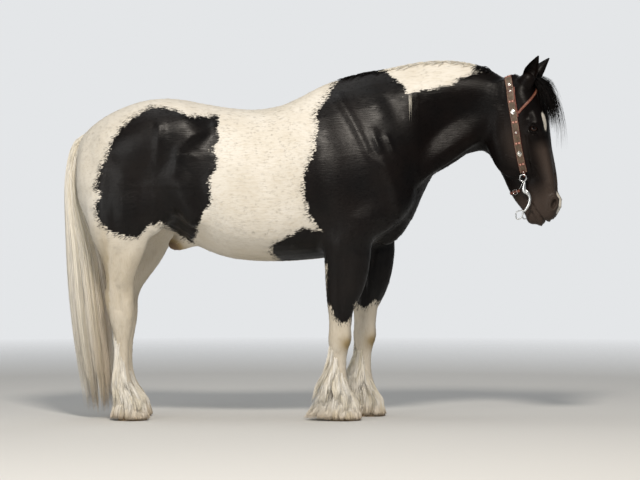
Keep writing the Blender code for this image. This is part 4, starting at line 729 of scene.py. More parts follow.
def flesh_surface(cell, reach):
    """The whole skin as one melted surface."""
    flesh = Flesh(*FLESH_ROOM, cell, reach)
    flesh.add(bent(tube(trunk_rings())), TRUNK_BLEND)
    for left in (False, True):
        for start, end, *size, blend in BODY_MUSCLES.values():
            flesh.add(bent(mass(mirrored(start, left), mirrored(end, left), *size)), blend)
        for ribs, hind, muscles in (
            (FORE_RIBS, False, (FOREARM_MUSCLE, KNEE_BONE)),
            (HIND_RIBS, True, (GASKIN_MUSCLE, HOCK_POINT)),
        ):
            flesh.add(tube(leg_rings(ribs, left, hind)), LEG_BLEND)
            for start, end, *size, blend in muscles:
                near, far = (mirrored(p, left, step_of(p[2], left, hind)) for p in (start, end))
                flesh.add(mass(near, far, *size), blend)
    flesh.carve(mass(*CLEFT[:4]), CLEFT[4])
    flesh.add(bent(tube(head_rings())), HEAD_BLEND)
    for left in (False, True):
        for *form, blend in HEAD_MASSES.values():
            flesh.add(head_mass(left, *form), blend)
        flesh.carve(head_mass(left, *NOSTRIL_PIT[:4]), NOSTRIL_PIT[4])
    return flesh.surface()


def head_place(place, left):
    """A place (u, sideways, v) of the head's own frame on the modelled horse."""
    u, y, v = place
    return Vector(bend([head_point(u, v, y if left else -y)])[0])


def world_shift():
    """From where the horse was drawn to the frame: the right eye's solid is a ball round its centre."""
    low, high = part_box("eye_right")
    return (low + high) / 2 - head_place(EYE_PLACE, False)


def line_distance(a, b, line):
    """How far each place (a, b) is from a line of straight pieces."""
    nearest = np.full(len(a), 1e9)
    for (ax, ay), (bx, by) in zip(line, line[1:]):
        dx, dy = bx - ax, by - ay
        t = np.clip(((a - ax) * dx + (b - ay) * dy) / (dx * dx + dy * dy), 0, 1)
        nearest = np.minimum(nearest, np.hypot(a - ax - t * dx, b - ay - t * dy))
    return nearest


def signed_distance(px, py, outline):
    """Pixels from each place to a closed outline, positive inside it."""
    closed = (*outline, outline[0])
    inside = np.zeros(len(px), bool)
    for (ax, ay), (bx, by) in zip(closed, closed[1:]):
        if ay != by:
            inside ^= ((ay > py) != (by > py)) & (px < ax + (py - ay) * (bx - ax) / (by - ay))
    far = line_distance(px, py, closed)
    return np.where(inside, far, -far)


def photo_pixels(points):
    """Where places of the drawn horse lie in the photograph."""
    start = np.array(CAMERA_PLACE)
    ahead = unit(np.array(CAMERA_LOOKS_AT) - start)
    right = np.array((1.0, 0, 0))
    p = points - start
    scale = PIXEL_SCALE / (p @ ahead)
    return FRAME_SIZE[0] / 2 + scale * (p @ right), FRAME_SIZE[1] / 2 - scale * (p @ np.cross(right, ahead))


def unbend(points):
    """Turns the neck and head back to straight ahead."""
    p = np.array(points, float)
    length = BEND_END - BEND_START
    radius = length / BEND_ANGLE
    turn = np.clip(np.arctan2(p[:, 0] - BEND_START, p[:, 1] + radius), 0, BEND_ANGLE)
    far = np.hypot(p[:, 0] - BEND_START, p[:, 1] + radius) - radius
    x = BEND_START + turn * radius
    y = far.copy()
    before = p[:, 0] < BEND_START
    x[before], y[before] = p[before, 0], p[before, 1]
    after = np.arctan2(p[:, 0] - BEND_START, p[:, 1] + radius) > BEND_ANGLE
    ax = p[after, 0] - BEND_START - radius * math.sin(BEND_ANGLE)
    ay = p[after, 1] + radius - radius * math.cos(BEND_ANGLE)
    x[after] = BEND_END + ax * math.cos(BEND_ANGLE) - ay * math.sin(BEND_ANGLE)
    y[after] = ax * math.sin(BEND_ANGLE) + ay * math.cos(BEND_ANGLE)
    return np.column_stack([x, y, p[:, 2]])


def head_frame(points):
    """(u, sideways, v) in the head's own frame, of places of the drawn horse."""
    p = unbend(points)
    lean = (math.sin(HEAD_LEAN), math.cos(HEAD_LEAN))
    x, z = p[:, 0] - POLL[0], p[:, 2] - POLL[1]
    return np.column_stack([x * lean[0] - z * lean[1], p[:, 1], x * lean[1] + z * lean[0]])


def ellipse_depth(a, b, mark):
    """Metres outside an ellipse on the face, about."""
    middle, side, long, wide = mark
    r = np.hypot((a - middle) / long, (b - side) / wide)
    return (r - 1) * wide


def blackness(points):
    """Metres into the black coat, negative in the white: the markings of skin and hair alike."""
    px, py = photo_pixels(points)
    right = np.maximum(signed_distance(px, py, RIGHT_BLACK), signed_distance(px, py, RIGHT_HIP))
    left = np.maximum(signed_distance(px, py, LEFT_BLACK), signed_distance(px, py, LEFT_HIP))
    share = np.clip(points[:, 1] / 0.1 + 0.5, 0, 1)
    black = (right * (1 - share) + left * share) * PIXEL
    u, y, v = head_frame(points).T
    on_face = (u > 0.15) & (v > 0.02) & (points[:, 0] > 0.95)
    star = np.where(on_face, ellipse_depth(u, y, STAR), 1.0)
    snip = np.where(on_face & (u > 0.6), ellipse_depth(u, y, SNIP), 1.0)
    return np.minimum(np.minimum(black, star), snip)


def relief_of(a, b, ridges, grooves):
    """How much the ridges raise, and the grooves lower, each place (a, b)."""
    total = np.zeros(len(a))
    for sign, lines in ((1, ridges), (-1, grooves)):
        for line, height, radius in lines.values():
            total += sign * height * hump(line_distance(a, b, line), radius)
    return total


def body_relief(points, normals):
    """Height of the muscles and tendons over the melted flesh."""
    x, y, z = unbend(points).T
    sideways = np.clip(np.abs(normals[:, 1]) * 1.6 - 0.2, 0, 1)
    trunk = ramp(z, 0.84, 0.08)
    total = trunk * sideways * relief_of(x, z, BODY_RIDGES, BODY_GROOVES)
    step = step_of(z, y > 0, x <= GIRTH)
    total += (1 - trunk) * sideways * relief_of(x - step, z, LEG_RIDGES, LEG_GROOVES)
    breast = (x > 0.2) & (z > 0.8) & (z < 1.25) & (normals[:, 0] > 0.2)
    total -= np.where(breast, 0.014 * hump(y, 0.022), 0.0)
    rump = (x < -0.75) & (z > 1.3) & (normals[:, 2] > 0.1)
    return total - np.where(rump, 0.01 * hump(y, 0.03), 0.0)


def head_relief(points):
    """Height of the head's bones, veins and folds over the melted flesh."""
    u, y, v = head_frame(points).T
    on_head = (u > -0.02) & (points[:, 0] > 0.88)
    return np.where(on_head, ramp(np.abs(y), 0, 0.03) * relief_of(u, v, HEAD_RIDGES, HEAD_GROOVES), 0.0)


def face_normals(points, quads):
    """Unit normals at the points of a mesh of quads."""
    across = np.cross(points[quads[:, 2]] - points[quads[:, 0]], points[quads[:, 3]] - points[quads[:, 1]])
    normals = np.zeros_like(points)
    for k in range(4):
        for axis in range(3):
            normals[:, axis] += np.bincount(quads[:, k], across[:, axis], len(points))
    return unit(normals)


def mesh_arrays(mesh):
    """Points and normals of a mesh, as arrays."""
    count = len(mesh.vertices)
    points, normals = np.empty(count * 3, np.float32), np.empty(count * 3, np.float32)
    mesh.vertices.foreach_get("co", points)
    mesh.vertices.foreach_get("normal", normals)
    return points.reshape(-1, 3).astype(float), normals.reshape(-1, 3).astype(float)


def new_object(name, mesh):
    """An object of the scene with this mesh, lamp or camera."""
    obj = bpy.data.objects.new(name, mesh)
    bpy.context.scene.collection.objects.link(obj)
    return obj


def poly_mesh(name, points, faces):
    """A mesh of faces with any number of corners."""
    mesh = bpy.data.meshes.new(name)
    mesh.from_pydata(np.asarray(points).tolist(), [], [list(f) for f in faces])
    mesh.update()
    return mesh


def apply_all(obj):
    """Replaces the object's mesh by what its modifiers make of it."""
    seen = obj.evaluated_get(bpy.context.evaluated_depsgraph_get())
    mesh = bpy.data.meshes.new_from_object(seen)
    obj.modifiers.clear()
    obj.data = mesh


def move_points(mesh, points):
    """Puts the mesh's points at these places."""
    mesh.vertices.foreach_set("co", points.astype(np.float32).ravel())
    mesh.update()


@contextmanager
def edited(mesh):
    """The mesh opened for editing, and written back afterwards."""
    shape = bmesh.new()
    shape.from_mesh(mesh)
    yield shape
    shape.to_mesh(mesh)
    shape.free()
    mesh.update()


def dressed(obj, material, sharp=None):
    """Gives the object its material and smooth shading; edges from this many degrees on stay sharp."""
    obj.data.materials.append(material)
    obj.data.shade_smooth()
    if sharp:
        obj.data.set_sharp_from_angle(angle=math.radians(sharp))
    return obj


def closed_tube(name, rings):
    """A closed object through equal rings."""
    points, quads, triangles = tube([np.asarray(r) for r in rings])
    obj = new_object(name, poly_mesh(name, points, [*quads, *triangles]))
    faces_out(obj.data)
    return obj


def faces_out(mesh):
    """Turns all faces of a closed mesh outwards."""
    with edited(mesh) as shape:
        bmesh.ops.recalc_face_normals(shape, faces=shape.faces)
        if shape.calc_volume(signed=True) < 0:
            bmesh.ops.reverse_faces(shape, faces=shape.faces)


def fuse(obj, pieces, operation):
    """Joins the pieces to the object, or cuts them out of it, and removes them."""
    group = bpy.data.collections.new("pieces")
    bpy.context.scene.collection.children.link(group)
    for piece in pieces:
        bpy.context.scene.collection.objects.unlink(piece)
        group.objects.link(piece)
    cut = obj.modifiers.new("fuse", "BOOLEAN")
    cut.operation = operation
    cut.operand_type = "COLLECTION"
    cut.collection = group
    cut.solver = "MANIFOLD"
    apply_all(obj)
    for piece in pieces:
        bpy.data.objects.remove(piece)
    bpy.data.collections.remove(group)


def head_axes(left):
    """Down the head, outwards and towards the face, as unit directions."""
    origin = head_place((0, 0, 0), left)
    return tuple((head_place(axis, left) - origin).normalized() for axis in ((1, 0, 0), (0, 1, 0), (0, 0, 1)))


def ear_rings(left, around=22, along_count=26):
    """Crescent sections of an ear from root to tip, whose cup faces forwards and outwards."""
    root = head_place(EAR_ROOT, left)
    tip = head_place(FAR_EAR_TIP if left else EAR_TIP, left)
    along = (tip - root).normalized()
    _, out, face = head_axes(left)
    facing = face * EAR_FACING[0] + out * EAR_FACING[1]
    facing = (facing - along * facing.dot(along)).normalized()
    across = along.cross(facing)
    places, half_widths = np.array(EAR_WIDTHS).T
    rings = []
    for t in 1 - (1 - np.linspace(-0.16, 1.0, along_count)) ** 1.1:
        width = float(np.interp(t, places, half_widths)) if t > 0 else half_widths[0] * (1 + 1.2 * t)
        centre = root.lerp(tip, t) - facing * 0.006 * math.sin(math.pi * max(t, 0))
        cup = min(1.0, max(0.0, (t - 0.02) / 0.25))
        wall = min(EAR_WALL * 0.75, width * 0.4)
        inner = width - wall
        points = []
        for angle in np.radians(np.linspace(-90, 90, around)):
            points.append(centre + across * width * math.sin(angle) - facing * width * 0.85 * math.cos(angle))
        for angle in np.radians(np.linspace(84, -84, around - 2)):
            hollow = -0.85 * inner * math.cos(angle) * cup + 0.45 * width * math.cos(angle) * (1 - cup)
            points.append(centre + across * inner * math.sin(angle) + facing * hollow)
        rings.append(np.array(points))
    return rings


def ball_mesh(name, centre, radius, around=48, up=32):
    """An object that is a ball round a centre."""
    shape = bmesh.new()
    bmesh.ops.create_uvsphere(shape, u_segments=around, v_segments=up, radius=radius)
    bmesh.ops.translate(shape, verts=shape.verts, vec=centre)
    mesh = bpy.data.meshes.new(name)
    shape.to_mesh(mesh)
    shape.free()
    return new_object(name, mesh)


def eye_axes(left):
    """Along the slit between the lids, up across it, and outwards."""
    down, out, face = head_axes(left)
    long = (face * math.cos(EYE_TILT) + down * math.sin(-EYE_TILT)).normalized()
    outward = (out + face * 0.25).normalized()
    long = (long - outward * long.dot(outward)).normalized()
    return long, outward.cross(long).normalized(), outward


def eye_slit(left):
    """An almond prism that opens the lids."""
    long, high, outward = eye_axes(left)
    centre = head_place(EYE_PLACE, left)
    rings = []
    for depth, grow in ((0.004, 0.72), (EYE_RADIUS + 0.02, 1.25)):
        points = []
        for angle in turns(48):
            wide = math.cos(angle) * EYE_OPENING[0] * grow
            tall = math.sin(angle) * abs(math.sin(angle)) ** 0.35 * EYE_OPENING[1] * grow
            points.append(centre + outward * depth + long * wide + high * tall)
        rings.append(np.array(points))
    return closed_tube("slit", rings)


def subdivide_where(mesh, wanted):
    """Splits the faces whose middles are wanted, each edge into two."""
    with edited(mesh) as shape:
        chosen = wanted(np.array([f.calc_center_median() for f in shape.faces]))
        edges = {e for f, c in zip(shape.faces, chosen) if c for e in f.edges}
        bmesh.ops.subdivide_edges(shape, edges=list(edges), cuts=1, use_grid_fill=True, smooth=0.0)


def smooth_where(mesh, wanted, rounds):
    """Moves the wanted points towards the middle of their neighbours."""
    points, _ = mesh_arrays(mesh)
    edges = np.empty(len(mesh.edges) * 2, np.int32)
    mesh.edges.foreach_get("vertices", edges)
    a, b = edges.reshape(-1, 2).T
    count = np.bincount(a, minlength=len(points)) + np.bincount(b, minlength=len(points))
    share = wanted(points)[:, None] * 0.5
    for _ in range(rounds):
        total = np.zeros_like(points)
        for axis in range(3):
            total[:, axis] += np.bincount(a, points[b, axis], len(points))
            total[:, axis] += np.bincount(b, points[a, axis], len(points))
        points += (total / count[:, None] - points) * share
    move_points(mesh, points)


def near_face_detail(points):
    """Where the head needs its finest mesh: eyes, nostrils and lips."""
    u, y, v = head_frame(points).T
    eye = np.hypot(u - EYE_PLACE[0], v - EYE_PLACE[2]) < 0.05
    return (points[:, 0] > HEAD_FROM) & (((u > 0.585) & (u < 0.9)) | (eye & (np.abs(y) > 0.05)))


def thinned(points, quads):
    """The melted surface as an object, with fewer triangles away from the head."""
    obj = new_object("skin", poly_mesh("skin", points, quads))
    outside = ~((points[:, 0] > HEAD_REGION[0]) & (points[:, 2] > HEAD_REGION[1]))
    obj.vertex_groups.new(name="body").add(np.flatnonzero(outside).tolist(), 1.0, "REPLACE")
    thin = obj.modifiers.new("thin", "DECIMATE")
    thin.ratio = (BODY_TRIANGLES + 2 * (~outside).sum()) / (2 * len(quads))
    thin.vertex_group = "body"
    apply_all(obj)
    return obj


def both_eyes(name, radius):
    """A ball round the middle of each eye."""
    return [ball_mesh(name, head_place(EYE_PLACE, left), radius) for left in (False, True)]


def skin_object():
    """The skin: melted flesh with its relief, fewer triangles on the body, ears, and lids round the eyes."""
    points, quads = flesh_surface(CELL, REACH)
    normals = face_normals(points, quads)
    obj = thinned(points + normals * body_relief(points, normals)[:, None], quads)
    subdivide_where(obj.data, near_face_detail)
    smooth_where(obj.data, lambda p: near_face_detail(p).astype(float), 2)
    points, normals = mesh_arrays(obj.data)
    move_points(obj.data, points + normals * head_relief(points)[:, None])
    ears = [closed_tube("ear", ear_rings(left)) for left in (False, True)]
    fuse(obj, both_eyes("lids", EYE_RADIUS + LID_THICKNESS) + ears, "UNION")
    fuse(obj, both_eyes("room", EYE_RADIUS + 0.0004) + [eye_slit(False), eye_slit(True)], "DIFFERENCE")
    with edited(obj.data) as shape:
        bmesh.ops.triangulate(shape, faces=shape.faces)
        # A Boolean can leave a flap without thickness, two small faces back to back on an edge
        shared = (face for edge in shape.edges if len(edge.link_faces) > 2 for face in edge.link_faces)
        flaps = {face for face in shared if face.calc_area() < 1e-7}
        bmesh.ops.delete(shape, geom=list(flaps), context="FACES")
    return obj


def unwrap(points):
    """Where places on the skin lie on its unwrap: along each part, and round it."""
    x, y, z = unbend(points).T
    u, side, v = head_frame(points).T
    fore, left = x > GIRTH, y >= 0
    part = np.full(len(x), "trunk", dtype="U12")
    along, angle = (x + 1.3) / 2.3, np.arctan2(y, z - 1.25)
    for name, chosen, length, turn in (
        ("head", (u > 0.02) & (x > 0.93), u / 0.82, np.arctan2(side, v + 0.04)),
        ("fore_right", fore & ~left & (z < 0.82), z / 0.95, np.arctan2(y + 0.17, x - 0.15)),
        ("fore_left", fore & left & (z < 0.82), z / 0.95, np.arctan2(y - 0.17, x - 0.28)),
        ("hind_right", ~fore & ~left & (z < 0.92), z / 0.95, np.arctan2(y + 0.16, x + 0.96)),
        ("hind_left", ~fore & left & (z < 0.92), z / 0.95, np.arctan2(y - 0.16, x + 0.94)),
        ("tail", x < TAIL_EDGE, z / 1.5, np.arctan2(y, x + 1.2)),
    ):
        part[chosen] = name
        along[chosen] = length[chosen]
        angle[chosen] = turn[chosen]
    room = np.array([CHARTS[name] for name in part])
    return room[:, :2] + np.clip(np.column_stack([along, angle / (2 * math.pi) + 0.5]), 0, 1) * room[:, 2:]


def strand_faces(steps):
    """Triangles of one strand: three points to a step, and one at its tip."""
    faces = [(0, 1, 2)]
    for k in range(steps - 2):
        for j in range(3):
            a, b = 3 * k + j, 3 * k + (j + 1) % 3
            faces += [(b, a, b + 3), (b + 3, a, a + 3)]
    last = 3 * (steps - 2)
    return np.array(faces + [(last + (j + 1) % 3, last + j, last + 3) for j in range(3)])


class Strands:
    """Tapered hairs of one piece: each a path, the way its flat side faces, and its size and shade."""

    def __init__(self, steps):
        self.steps = steps
        self.paths, self.outs, self.widths, self.shades = [], [], [], []

    def add(self, paths, outs, widths, shades):
        """Adds hairs; their directions, widths and shades may be one for all."""
        self.paths.append(np.asarray(paths, float))
        self.outs.append(np.broadcast_to(outs, np.shape(paths)))
        self.widths.append(np.broadcast_to(widths, len(paths)))
        self.shades.append(np.broadcast_to(shades, len(paths)))

    def points(self, paths, outs, widths, t):
        """Three points to a step of each path and one at its tip, thinner at the root and to a point."""
        ahead = np.gradient(paths, axis=1)
        side = unit(np.cross(ahead, outs))
        up = unit(np.cross(side, ahead))
        share = np.minimum(np.minimum(1.0, 0.5 + 2.5 * t), 0.08 + 2.2 * (1 - t))
        half = (widths[:, None] * share[None] / 2)[..., None]
        corners = np.stack([paths + side * half, paths + up * half * 0.5, paths - side * half], 2)
        return np.concatenate([corners[:, :-1].reshape(len(paths), -1, 3), paths[:, -1:]], 1)

    def object(self, name, material, black=None, flat=False):
        """One mesh of all strands: three-sided, from a root below the skin to a point."""
        paths, outs, widths, shades = map(np.concatenate, (self.paths, self.outs, self.widths, self.shades))
        count, steps = paths.shape[:2]
        t = np.linspace(0, 1, steps)
        points = self.points(paths, outs, widths, t)
        each = points.shape[1]
        faces = strand_faces(steps)
        every = (np.arange(count)[:, None, None] * each + faces[None]).reshape(-1, 3)
        mesh = triangle_mesh(name, points.reshape(-1, 3), every)
        along = np.append(np.repeat(t[:-1], 3), 1.0)
        black = blackness(paths[:, 0]) if black is None else np.broadcast_to(black, count)
        set_attribute(mesh, "black", np.repeat(black, each))
        set_attribute(mesh, "shade", np.repeat(shades, each))
        set_attribute(mesh, "along", np.tile(along, count))
        aside = np.append(np.tile((0.0, 0.5, 1.0), steps - 1), 0.5)
        patch = np.column_stack([aside, along]) * PATCH
        places = (unwrap(paths[:, 0])[:, None, None] + patch[faces][None]).reshape(-1, 2)
        mesh.uv_layers.new(name="OFBake").data.foreach_set("uv", places.astype(np.float32).ravel())
        obj = dressed(new_object(name, mesh), material)
        if flat:
            mesh.normals_split_custom_set_from_vertices(np.repeat(outs[:, 0], each, 0).tolist())
        return obj


def triangle_mesh(name, points, faces):
    """A mesh from arrays of points and triangles."""
    mesh = bpy.data.meshes.new(name)
    mesh.vertices.add(len(points))
    mesh.vertices.foreach_set("co", np.asarray(points, np.float32).ravel())
    mesh.loops.add(faces.size)
    mesh.loops.foreach_set("vertex_index", faces.astype(np.int32).ravel())
    mesh.polygons.add(len(faces))
    mesh.polygons.foreach_set("loop_start", np.arange(0, faces.size, 3, dtype=np.int32))
    mesh.update(calc_edges=True)
    return mesh


def resampled(path, steps):
    """A path's points on a smooth curve through them, evenly in their order."""
    rows = smooth_rows(path, 6)
    return rows_at(np.linspace(0, len(rows) - 1, steps), np.arange(len(rows)), rows)


def lock_strands(draw, path, outs, width, depth, count, steps, hair, spread=1.0):
    """Hairs of one lock round its path: apart in its middle and together at its tip."""
    middle = resampled(path, steps)
    ahead = np.gradient(middle, axis=0)
    side = unit(np.cross(ahead, resampled(outs, steps)))
    facing = unit(np.cross(side, ahead))
    t = np.linspace(0, 1, steps)
    a = draw.uniform(-1, 1, count)
    b = draw.uniform(-1, 1, count) * np.sqrt(1 - np.minimum(a * a, 0.99))
    end = draw.uniform(0.72, 1.0, count)
    open_ = (0.65 + 0.9 * t - 1.25 * t * t * spread)[None]
    wave = draw.normal(0, 1, (count, 2))
    turn = draw.uniform(0, 2 * math.pi, count)
    sway = np.sin(t[None] * draw.uniform(3, 7, count)[:, None] + turn[:, None]) * t[None]
    across = a[:, None] * open_ * width / 2 + wave[:, :1] * 0.04 * width * sway
    out = b[:, None] * open_ * depth / 2 + wave[:, 1:] * 0.06 * depth * sway
    place = end[:, None] * t[None] * (steps - 1)
    low = np.minimum(place.astype(int), steps - 2)
    share = (place - low)[..., None]
    middles, sides, faces = (
        rows[low] * (1 - share) + rows[low + 1] * share for rows in (middle, side, facing)
    )
    paths = middles + sides * across[..., None] + faces * out[..., None]
    hair_outs = faces + sides * draw.uniform(-0.8, 0.8, count)[:, None, None]
    return paths, hair_outs, hair * draw.uniform(0.6, 1.3, count)


def hang(tree, start, heading, length, lifts, stiff=0.55):
    """Path and outward directions of a lock that leaves its root, falls and rests on the skin."""
    step = length / len(lifts)
    direction = Vector(heading).normalized()
    points, outs = [Vector(start)], []
    near, normal, _, _ = tree.find_nearest(points[0])
    outs.append(normal.copy())
    for lift in lifts:
        direction = (direction * stiff + Vector((0, 0, -1)) * (1 - stiff)).normalized()
        point = points[-1] + direction * step
        near, normal, _, distance = tree.find_nearest(point)
        height = distance if (point - near).dot(normal) > 0 else -distance
        if height < lift:
            point = near + normal * lift
        points.append(point)
        outs.append(normal.copy())
    return np.array(points), np.array(outs)


def crest_point(x):
    """Height of the crest at this place along the neck."""
    rows = smooth_rows(TRUNK_RIBS, 6)
    return float(np.interp(x, rows[:, 0], rows[:, 1]))


def skin_near(tree, place):
    """The skin's nearest place and normal to a place that is given before the neck is turned."""
    return tree.find_nearest(Vector(bend([place])[0]))[:2]


def lock_shades(draw, count):
    """Shades of one lock's hairs: the lock's own, and a little from hair to hair."""
    return draw.uniform(0, 0.6) + draw.uniform(0, 0.4, count)


def swept(draw, strands, path, outs, width, depth, count, hair, spread=1.0):
    """Adds one lock's hairs, with a shade of its own."""
    paths, faces, widths = lock_strands(draw, path, outs, width, depth, count, strands.steps, hair, spread)
    strands.add(paths, faces, widths, lock_shades(draw, len(paths)))


def mane(tree):
    """The mane: combed over the crest to the horse's left side."""
    draw = np.random.default_rng(7)
    strands = Strands(8)
    for i in range(MANE_LOCKS):
        t = (i + draw.uniform(0, 1)) / MANE_LOCKS
        x = MANE_ALONG[0] + MANE_ALONG[1] * t
        near, normal = skin_near(tree, (x, draw.uniform(-0.03, 0.022), crest_point(x)))
        share = 0.72 + 0.28 * math.sin(math.pi * min(1.0, t + 0.25))
        length = MANE_LENGTH * share * draw.uniform(0.75, 1.1)
        lift = draw.uniform(0.003, 0.022)
        lifts = [0.003, 0.4 * lift + 0.003, lift, lift + 0.002, lift + 0.001, lift * 0.8]
        heading = (draw.uniform(-0.35, 0.1), 1.0, draw.uniform(0.15, 0.4))
        path, outs = hang(tree, near - normal * 0.006, heading, length, lifts, 0.62)
        swept(draw, strands, path, outs, 0.04, 0.012, 22, HAIR_WIDTHS["mane"])
    return strands


def crest_hair(tree):
    """Short hair along the crest, on the horse's right, and a few long hairs that fell to this side."""
    draw = np.random.default_rng(8)
    strands = Strands(6)
    for i in range(CREST_TUFTS):
        t = (i + draw.uniform(0, 1)) / CREST_TUFTS
        x = CREST_ALONG[0] + CREST_ALONG[1] * t
        near, normal = skin_near(tree, (x, draw.uniform(-0.034, 0.012), crest_point(x)))
        heading = (draw.uniform(-1.0, -0.2), draw.uniform(-0.3, 0.9), draw.uniform(0.05, 0.4))
        length = draw.uniform(0.035, 0.075)
        if t > 0.9:
            heading = (draw.uniform(-1.0, -0.2), draw.uniform(-0.8, 0.4), draw.uniform(0.2, 0.8))
            length *= 1.4
        path, outs = hang(tree, near - normal * 0.005, heading, length, CREST_LIFTS, 0.72)
        swept(draw, strands, path, outs, 0.016, 0.005, 13, HAIR_WIDTHS["crest"])
    for x in draw.uniform(*WISP_ALONG, WISP_LOCKS):
        near, normal = skin_near(tree, (x, -0.2, WISP_HEIGHT))
        length = draw.uniform(0.09, 0.2)
        path, outs = hang(tree, near - normal * 0.004, (-0.05, -0.25, -1.0), length, CREST_LIFTS, 0.8)
        swept(draw, strands, path, outs, 0.016, 0.004, 3, HAIR_WIDTHS["wisp"])
    return strands


def forelock():
    """Fine hair from between the ears that arches forwards over the forehead, more to the horse's left."""
    draw = np.random.default_rng(11)
    strands = Strands(9)
    out = head_axes(True)[1]
    first_u, first_v, _ = FORELOCK_COURSE[0]
    for i in range(FORELOCK_LOCKS):
        stray = i % 3 == 0
        spread = draw.uniform(*FORELOCK_SPREAD)
        height = draw.uniform(0.88, 1.14) if stray else draw.uniform(0.4, 0.98)
        length = draw.uniform(0.7, 1.5) if stray else draw.uniform(0.45, 1.1)
        path = []
        for u, v, share in FORELOCK_COURSE:
            aside = 0.02 * draw.uniform(-1, 1) + spread * share
            place = (first_u + (u - first_u) * length, aside, first_v + (v - first_v) * height)
            path.append(head_place(place, True))
        count, width = (8, HAIR_WIDTHS["stray"]) if stray else (24, HAIR_WIDTHS["forelock"])
        swept(draw, strands, np.array(path), np.array([out] * len(path)), 0.036, 0.028, count, width, 0.2)
    return strands


def tail_frames():
    """The way to the tail's back from each of its rows, in the side view."""
    ahead = unit(np.gradient(TAIL_ROWS[:, :2], axis=0))
    back = np.column_stack([ahead[:, 1], -ahead[:, 0]])
    back[back[:, 0] > 0] *= -1
    return back


def tail_paths(t, turn, share):
    """Places in the tail's hair: t from dock to tips, the turn round its course, the share of its width."""
    rows = np.hstack([TAIL_ROWS, tail_frames()])
    at = np.clip(t, 0, 1) * (len(rows) - 1)
    x, z, deep, wide, back_x, back_z = (np.interp(at, np.arange(len(rows)), column) for column in rows.T)
    reach = deep * share * np.cos(turn)
    return np.stack([x + back_x * reach, wide * share * np.sin(turn), z + back_z * reach], -1)


def tail(seed, inside, outside):
    """Hair of the tail between two shares of its width, in long loose locks."""
    draw = np.random.default_rng(seed)
    strands = Strands(12)
    s = np.linspace(0, 1, 12)[None]
    hairs = (TAIL_HAIRS, 1)
    for _ in range(TAIL_LOCKS):
        turn = draw.uniform(0, 2 * math.pi)
        start = draw.uniform(0.0, 0.3)
        share = draw.uniform(inside, outside)
        end = draw.uniform(0.84, 1.0)
        wave, phase = draw.uniform(0.02, 0.1), draw.uniform(0, 6.3)
        turn = turn + draw.normal(0, 0.17, hairs) * (1 - 0.45 * s) + wave * np.sin(5 * s + phase) * s
        start = np.clip(start + draw.uniform(-0.04, 0.04, hairs), 0, 1)
        end = end - draw.uniform(0, 0.1, hairs) * draw.uniform(0, 1, hairs)
        reach = TAIL_CORE + (share + draw.normal(0, 0.035, hairs) - TAIL_CORE) * np.minimum(1.0, s * 4.5)
        paths = tail_paths(start + (end - start) * s, turn, np.minimum(reach, 1.0))
        outs = np.stack([-np.cos(turn), np.sin(turn), 0 * turn], -1)
        shades = lock_shades(draw, TAIL_HAIRS)
        strands.add(paths, outs, HAIR_WIDTHS["tail"] * draw.uniform(0.6, 1.3, TAIL_HAIRS), shades)
    return strands


def leg_table(tree, hind, left):
    """Where the leg's skin is, for rings of heights and angles, and the middle of its foot."""
    hoof = HIND_HOOF if hind else FORE_HOOF
    forward = step_of(0.0, left, hind)
    side = 1 if left else -1
    middle = np.array([(hoof["front"][0] + hoof["back"][0]) / 2 + forward, side * hoof["y"], 0.0])
    ribs = smooth_rows(HIND_RIBS if hind else FORE_RIBS, 4)
    heights = np.linspace(0.0, 0.62, 42)
    angles = np.linspace(0, 2 * math.pi, 49)
    table = np.empty((len(heights), len(angles), 3))
    for i, z in enumerate(heights):
        x = float(np.interp(-z, -ribs[:, 1], (ribs[:, 0] + ribs[:, 2]) / 2)) + forward
        start = Vector((x, middle[1], max(z, 0.07)))
        for j, angle in enumerate(angles):
            way = Vector((math.cos(angle), side * math.sin(angle), 0))
            hit = tree.ray_cast(start, way, 0.2)[0] or start + way * 0.04
            table[i, j] = (hit.x, hit.y, z)
    return heights, table, middle


def looked_up(heights, table, z, angle):
    """The leg's skin at these heights and angles."""
    row = np.clip(z / heights[-1], 0, 0.9999) * (len(heights) - 1)
    column = np.mod(angle / (2 * math.pi), 1.0) * (table.shape[1] - 1)
    i, j = row.astype(int), np.minimum(column.astype(int), table.shape[1] - 2)
    a, b = (row - i)[..., None], (column - j)[..., None]
    low = table[i, j] * (1 - b) + table[i, j + 1] * b
    high = table[i + 1, j] * (1 - b) + table[i + 1, j + 1] * b
    return low * (1 - a) + high * a


